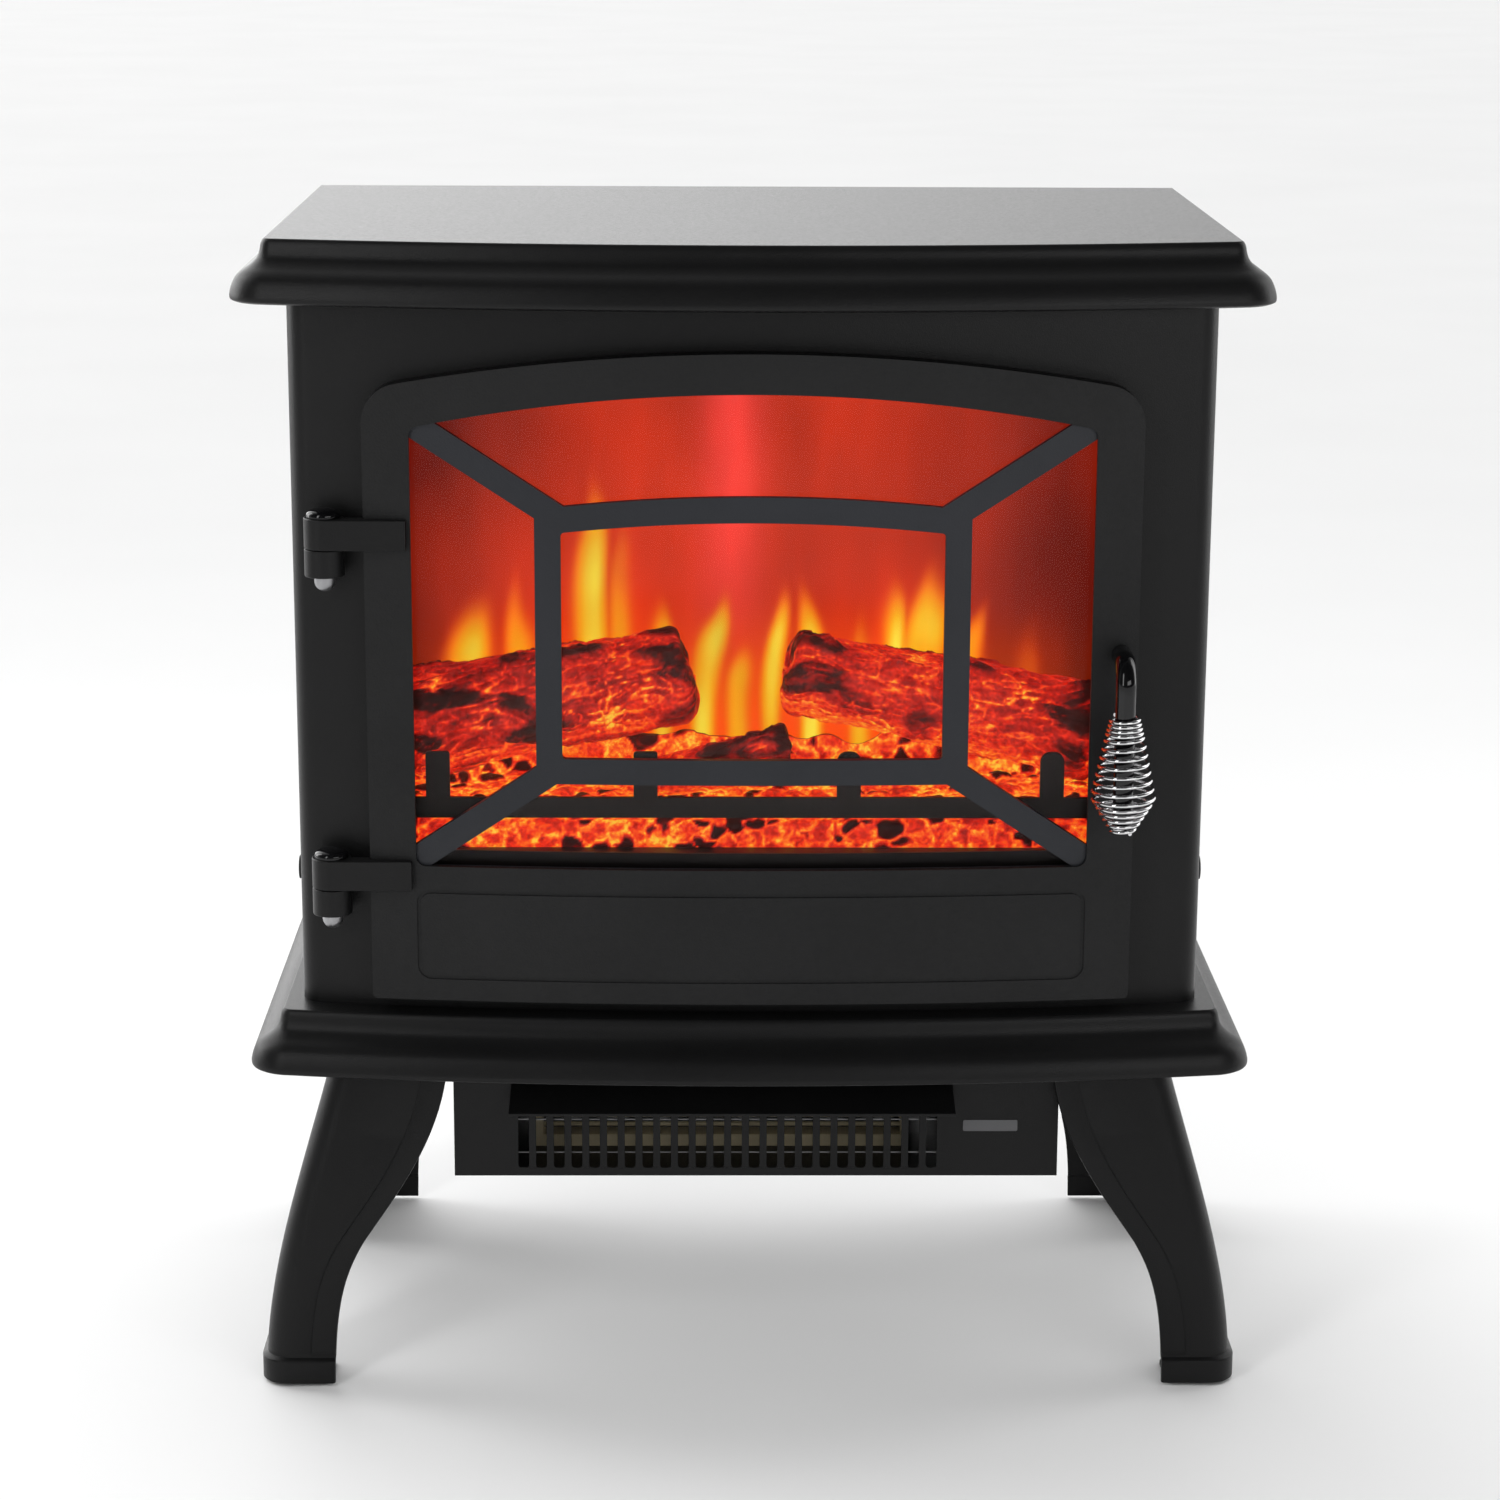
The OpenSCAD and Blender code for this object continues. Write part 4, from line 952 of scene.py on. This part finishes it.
def bark(along, around, radius, seed, warmth):
    """Height of the bark and heat of its glow at a place on a log; its underside is painted brighter, as if
    lit by the coals below.
    """
    round_x, round_z = math.cos(around) * radius, math.sin(around) * radius
    warp = noise.noise_vector(Vector((along / 26, round_x / 22, round_z / 22 + seed))) * 5.5
    u, v, w = along + warp.x * 1.6, round_x + warp.y, round_z + warp.z
    grain = noise.noise(Vector((u / 34, v / 5.2, w / 5.2 + seed)))
    split = noise.noise(Vector((u / 13, v / 7.5, w / 7.5 - seed)))
    fine = noise.fractal(Vector((u / 9, v / 3.4, w / 3.4)), 1.0, 2.2, 4)
    broad = noise.noise(Vector((u / 34, v / 13, w / 13 + 2 * seed)))
    char = float(smoothstep(0.06, 0.3, broad + 0.25 * fine))
    crack = max(1 - abs(grain) / 0.1, 0.85 - abs(split) / 0.08, 0.0)
    height = 2.2 * broad + 1.5 * (1 - crack) + 1.1 * fine + 1.0 * char
    # Painted light: the underside glows more, as if lit by the coals below
    lit_from_below = max(0.0, -math.sin(around))
    patch = noise.noise(Vector((along / 20, round_x / 14, round_z / 14 + 3 * seed)))
    spark = float(smoothstep(-0.1, 0.4, patch))
    in_crack = crack * (0.24 + 0.3 * spark - 0.2 * char)
    heat = warmth + 0.19 * fine - 0.3 * char + in_crack + 0.25 * lit_from_below * lit_from_below
    return height, min(max(heat, 0.02), 1.0)


def log_stations(length, worn):
    """Places along a log, each with its share of the full radius, which falls at the worn ends."""
    turn = np.radians(np.linspace(0, 90, 12))
    ends = [(0.0, s) for s in (0.1, 0.3, 0.48)]
    ends += [(worn * (1 - math.cos(q)), 0.58 + 0.42 * math.sin(q)) for q in turn]
    middle = np.linspace(worn, length - worn, int((length - 2 * worn) / LOG_STEP))[1:-1]
    return ends + [(t, 1.0) for t in middle] + [(length - t, s) for t, s in reversed(ends)]


def log(name, node, a, ra, b, rb, seed, warmth):
    """A charred log between two points, with crumbled ends, its glow stored on its points."""
    a, b = Vector(a), Vector(b)
    axis = (b - a).normalized()
    side = axis.cross(Vector((0, 0, 1))).normalized()
    up = side.cross(axis)
    length = (b - a).length
    rings, heats = [], []
    for along, share in log_stations(length, min(10.0, ra * 0.5)):
        base = ra + (rb - ra) * along / length - BARK_T
        edge = 1 - share
        inward = 1 if along < length / 2 else -1
        ring = []
        for j in range(LOG_SIDES):
            around = 2 * math.pi * j / LOG_SIDES
            cos, sin = math.cos(around), math.sin(around)
            height, heat = bark(along, around, base * (0.4 + 0.6 * share), seed, warmth(along / length))
            ragged = 2.5 + 5 * noise.noise(Vector((cos * 1.5, sin * 1.5, seed + inward)))
            off = along + inward * (abs(ragged) * min(1, edge * 4) + 0.6 * height * edge + 1)
            r = (base + height * share) * share
            ring.append(a + axis * off + (side * cos + up * sin) * r)
            heats.append(heat - 0.12 * edge)
        rings.append(ring)
    piece = add_object(name, *skin(rings), "cabinet", "log_resin", node, angle=80)
    set_attribute(piece, "glow", heats)


def logs():
    """Two large logs and a small one in front; each one's warmth is given along its length."""
    log("LogLeft", "log_left", (-184, -48, 334), 29, (-27, -44, 363), 24, 1.7, lambda t: 0.33 + 0.14 * t)
    log("LogRight", "log_right", (15, -44, 364), 21, (184, -46, 331), 26, 9.4,
        lambda t: 0.48 - 0.3 * max(t - 0.62, 0))
    log("LogCentre", "log_centre", (-56, -72, 312), 10.5, (24, -66, 326), 15, 5.2, lambda t: 0.47)


def coals(x, y, z, size, warmth):
    """Height of the coals and heat of their glow at a place on the bed."""
    p = Vector((x, y, z)) / size
    near, gap, mark = cells(p + noise.noise_vector(p * 1.6) * 0.3)
    fine = noise.fractal(Vector((x, y, z)) / 4.5, 1.0, 2.1, 3)
    broad = noise.noise(Vector((x / 30, y / 24, z / 30)))
    dome = max(0.0, 1 - (near / 0.72) ** 2)
    crack = 1 - float(smoothstep(0.0, 0.3, gap))
    coal = 1.0 if mark > 0.6 else 0.0
    heat = warmth + 0.24 * broad + 0.17 * fine + 0.3 * crack - 0.46 * coal * (1 - crack)
    return 3.4 * dome * (0.6 + 0.6 * mark) + 0.7 * fine, min(max(heat, 0.03), 1)


def bed_profile(low, high):
    """Section of the bed before its coals: a rounded front, a slope and a bank at the back."""
    bend = np.radians([15, 35, 60, 90])
    front = [(low.y + 3, z) for z in np.arange(low.z, low.z + 11, COAL_STEP)]
    front += [(low.y + 3 + 4 * (1 - math.cos(a)), low.z + 11 + 3 * math.sin(a)) for a in bend]
    run, rise = high.y - low.y - 16, high.z - low.z - 25
    slope = [(low.y + 7 + run * s, low.z + 14 + 6.5 * s) for s in np.linspace(0, 1, 50)[1:]]
    bank = [(high.y - 8 + 4.5 * s, low.z + 21 + rise * s) for s in np.linspace(0, 1, 24)[1:]]
    return front, slope, bank


def bed_row(x, low, high):
    """Points of the bed at one x, raised by their coals, and the heat of each."""
    front, slope, bank = bed_profile(low, high)
    row = []
    for y, z in front:
        height, heat = coals(x, y, z, 10.5, 0.5)
        height = min(height, 3.1) * float(smoothstep(0, 4, z - low.z))
        row.append(((x, y - height, z + 0.15 * height), heat))
    for y, z in slope:
        height, heat = coals(x, y, z, 10.5, 0.56)
        height = min(height, 5.0)
        row.append(((x, max(y - 0.35 * height, low.y), z + 0.9 * height), heat))
    crest = 0.82 + 0.3 * noise.noise(Vector((x / 19, 4.4, 0)))
    for y, z in bank:
        z = low.z + 21 + (z - low.z - 21) * crest
        height, heat = coals(x, y, z, 14, 0.62)
        row.append(((x, y - min(height, 4.0), min(z + 0.5 * height, high.z - 0.5)), min(heat, 0.9)))
    back_top = row[-1][0][2] - 0.5
    return row + [((x, high.y, back_top), 0.1), ((x, high.y, low.z), 0.1)]


def ember_bed():
    """Bed of coals, its glow stored on its points."""
    low, high = node_box("ember_bed")
    rows = [bed_row(x, low, high) for x in np.arange(low.x + 1, high.x - 0.5, COAL_STEP)]
    rings = [[point for point, _ in row] for row in rows]
    piece = add_object("EmberBed", *skin(rings), "cabinet", "ember_resin", "ember_bed", angle=75)
    set_attribute(piece, "glow", [heat for row in rows for _, heat in row])


# ---------------------------------------------------------------- heater


def guard_wires():
    """Two wires across the outlet behind its slots, with short uprights."""
    low, high = node_box("heater_housing")
    y = low.y + 4
    verts, faces = [], []
    across = np.linspace(low.x + 26, high.x - 56, 40)
    runs = [[(x, y, z) for x in across] for z in (118.0, 136.0)]
    for x in np.arange(low.x + 36, high.x - 60, 9.3):
        runs += [[(x + side, y + 1.6, z) for z in np.linspace(137, 150, 4)] for side in (-0.9, 0.9)]
    for run in runs:
        more_verts, more_faces = tube(run, GUARD_WIRE_R, 8)
        faces += [[i + len(verts) for i in face] for face in more_faces]
        verts += more_verts
    add_object("GuardWires", verts, faces, "cabinet", "zinc")


# ---------------------------------------------------------------- CAD nodes that stay

# Rounding of each kept node's edges, in millimetres
KEPT_EDGES = {
    "hinge_leaf_upper": 1.2, "hinge_leaf_lower": 1.2, "hinge_bracket_upper": 1.0, "hinge_bracket_lower": 1.0,
    "heater_housing": 0.3, "heat_deflector": 0.3, "grate": 0.5, "firebox_liner": 0.2,
    "thermostat_knob": 0.5, "rocker_power": 0.5, "rocker_heat_low": 0.5, "rocker_heat_high": 0.5,
    "control_panel": 0.4, "cable_gland": 0.4, "foot_pads": 0.4, "leg_screws": 0.3, "side_screws": 0.4,
    "rear_panel_screws": 0.3, "switch_bodies": 0.3, "magnet_catch": 0.3, "handle_nut": 0.3,
    "hinge_pins": 0.3, "thermostat": 0.4, "blower_motor": 0.8, "rotor_motor": 0.8,
}


def keep_cad_nodes():
    """Gives every CAD node that still shows its finish, softened edges where KEPT_EDGES gives a rounding,
    and split sharp edges elsewhere.
    """
    slots = {part["node"]: part["material_slot"] for part in frame["record"]["subparts"]}
    for name, piece in frame["nodes"].items():
        if piece.hide_render:
            continue
        mesh = piece.data
        mesh.materials.clear()
        mesh.materials.append(MATERIALS[slots[name]])
        if "custom_normal" in mesh.attributes:
            mesh.attributes.remove(mesh.attributes["custom_normal"])
        weld = piece.modifiers.new("Weld", "WELD")
        weld.merge_threshold = 0.01 * MM
        smooth_shade(mesh)
        if name in KEPT_EDGES:
            soften(piece, KEPT_EDGES[name], 2)
        else:
            split = piece.modifiers.new("Split", "EDGE_SPLIT")
            split.split_angle = math.radians(SHARP_ANGLE)


# ---------------------------------------------------------------- build

make_studio(floor_material())
moulding("TopCover", "top_cover", TOP_R, TOP_ARC_Y, TOP_HIGH.z)
moulding("BaseCover", "base_cover", BASE_R, ARC_Y, BASE_Z)
cabinet_shell()
leg("LegFrontLeft", "leg_front_left", -1, rear=False)
leg("LegFrontRight", "leg_front_right", 1, rear=False)
leg("LegRearLeft", "leg_rear_left", -1, rear=True)
leg("LegRearRight", "leg_rear_right", 1, rear=True)
door_frame()
window_grille()
door_glass()
handle_rod()
handle_coil()
flame_screen()
logs()
ember_bed()
guard_wires()
keep_cad_nodes()
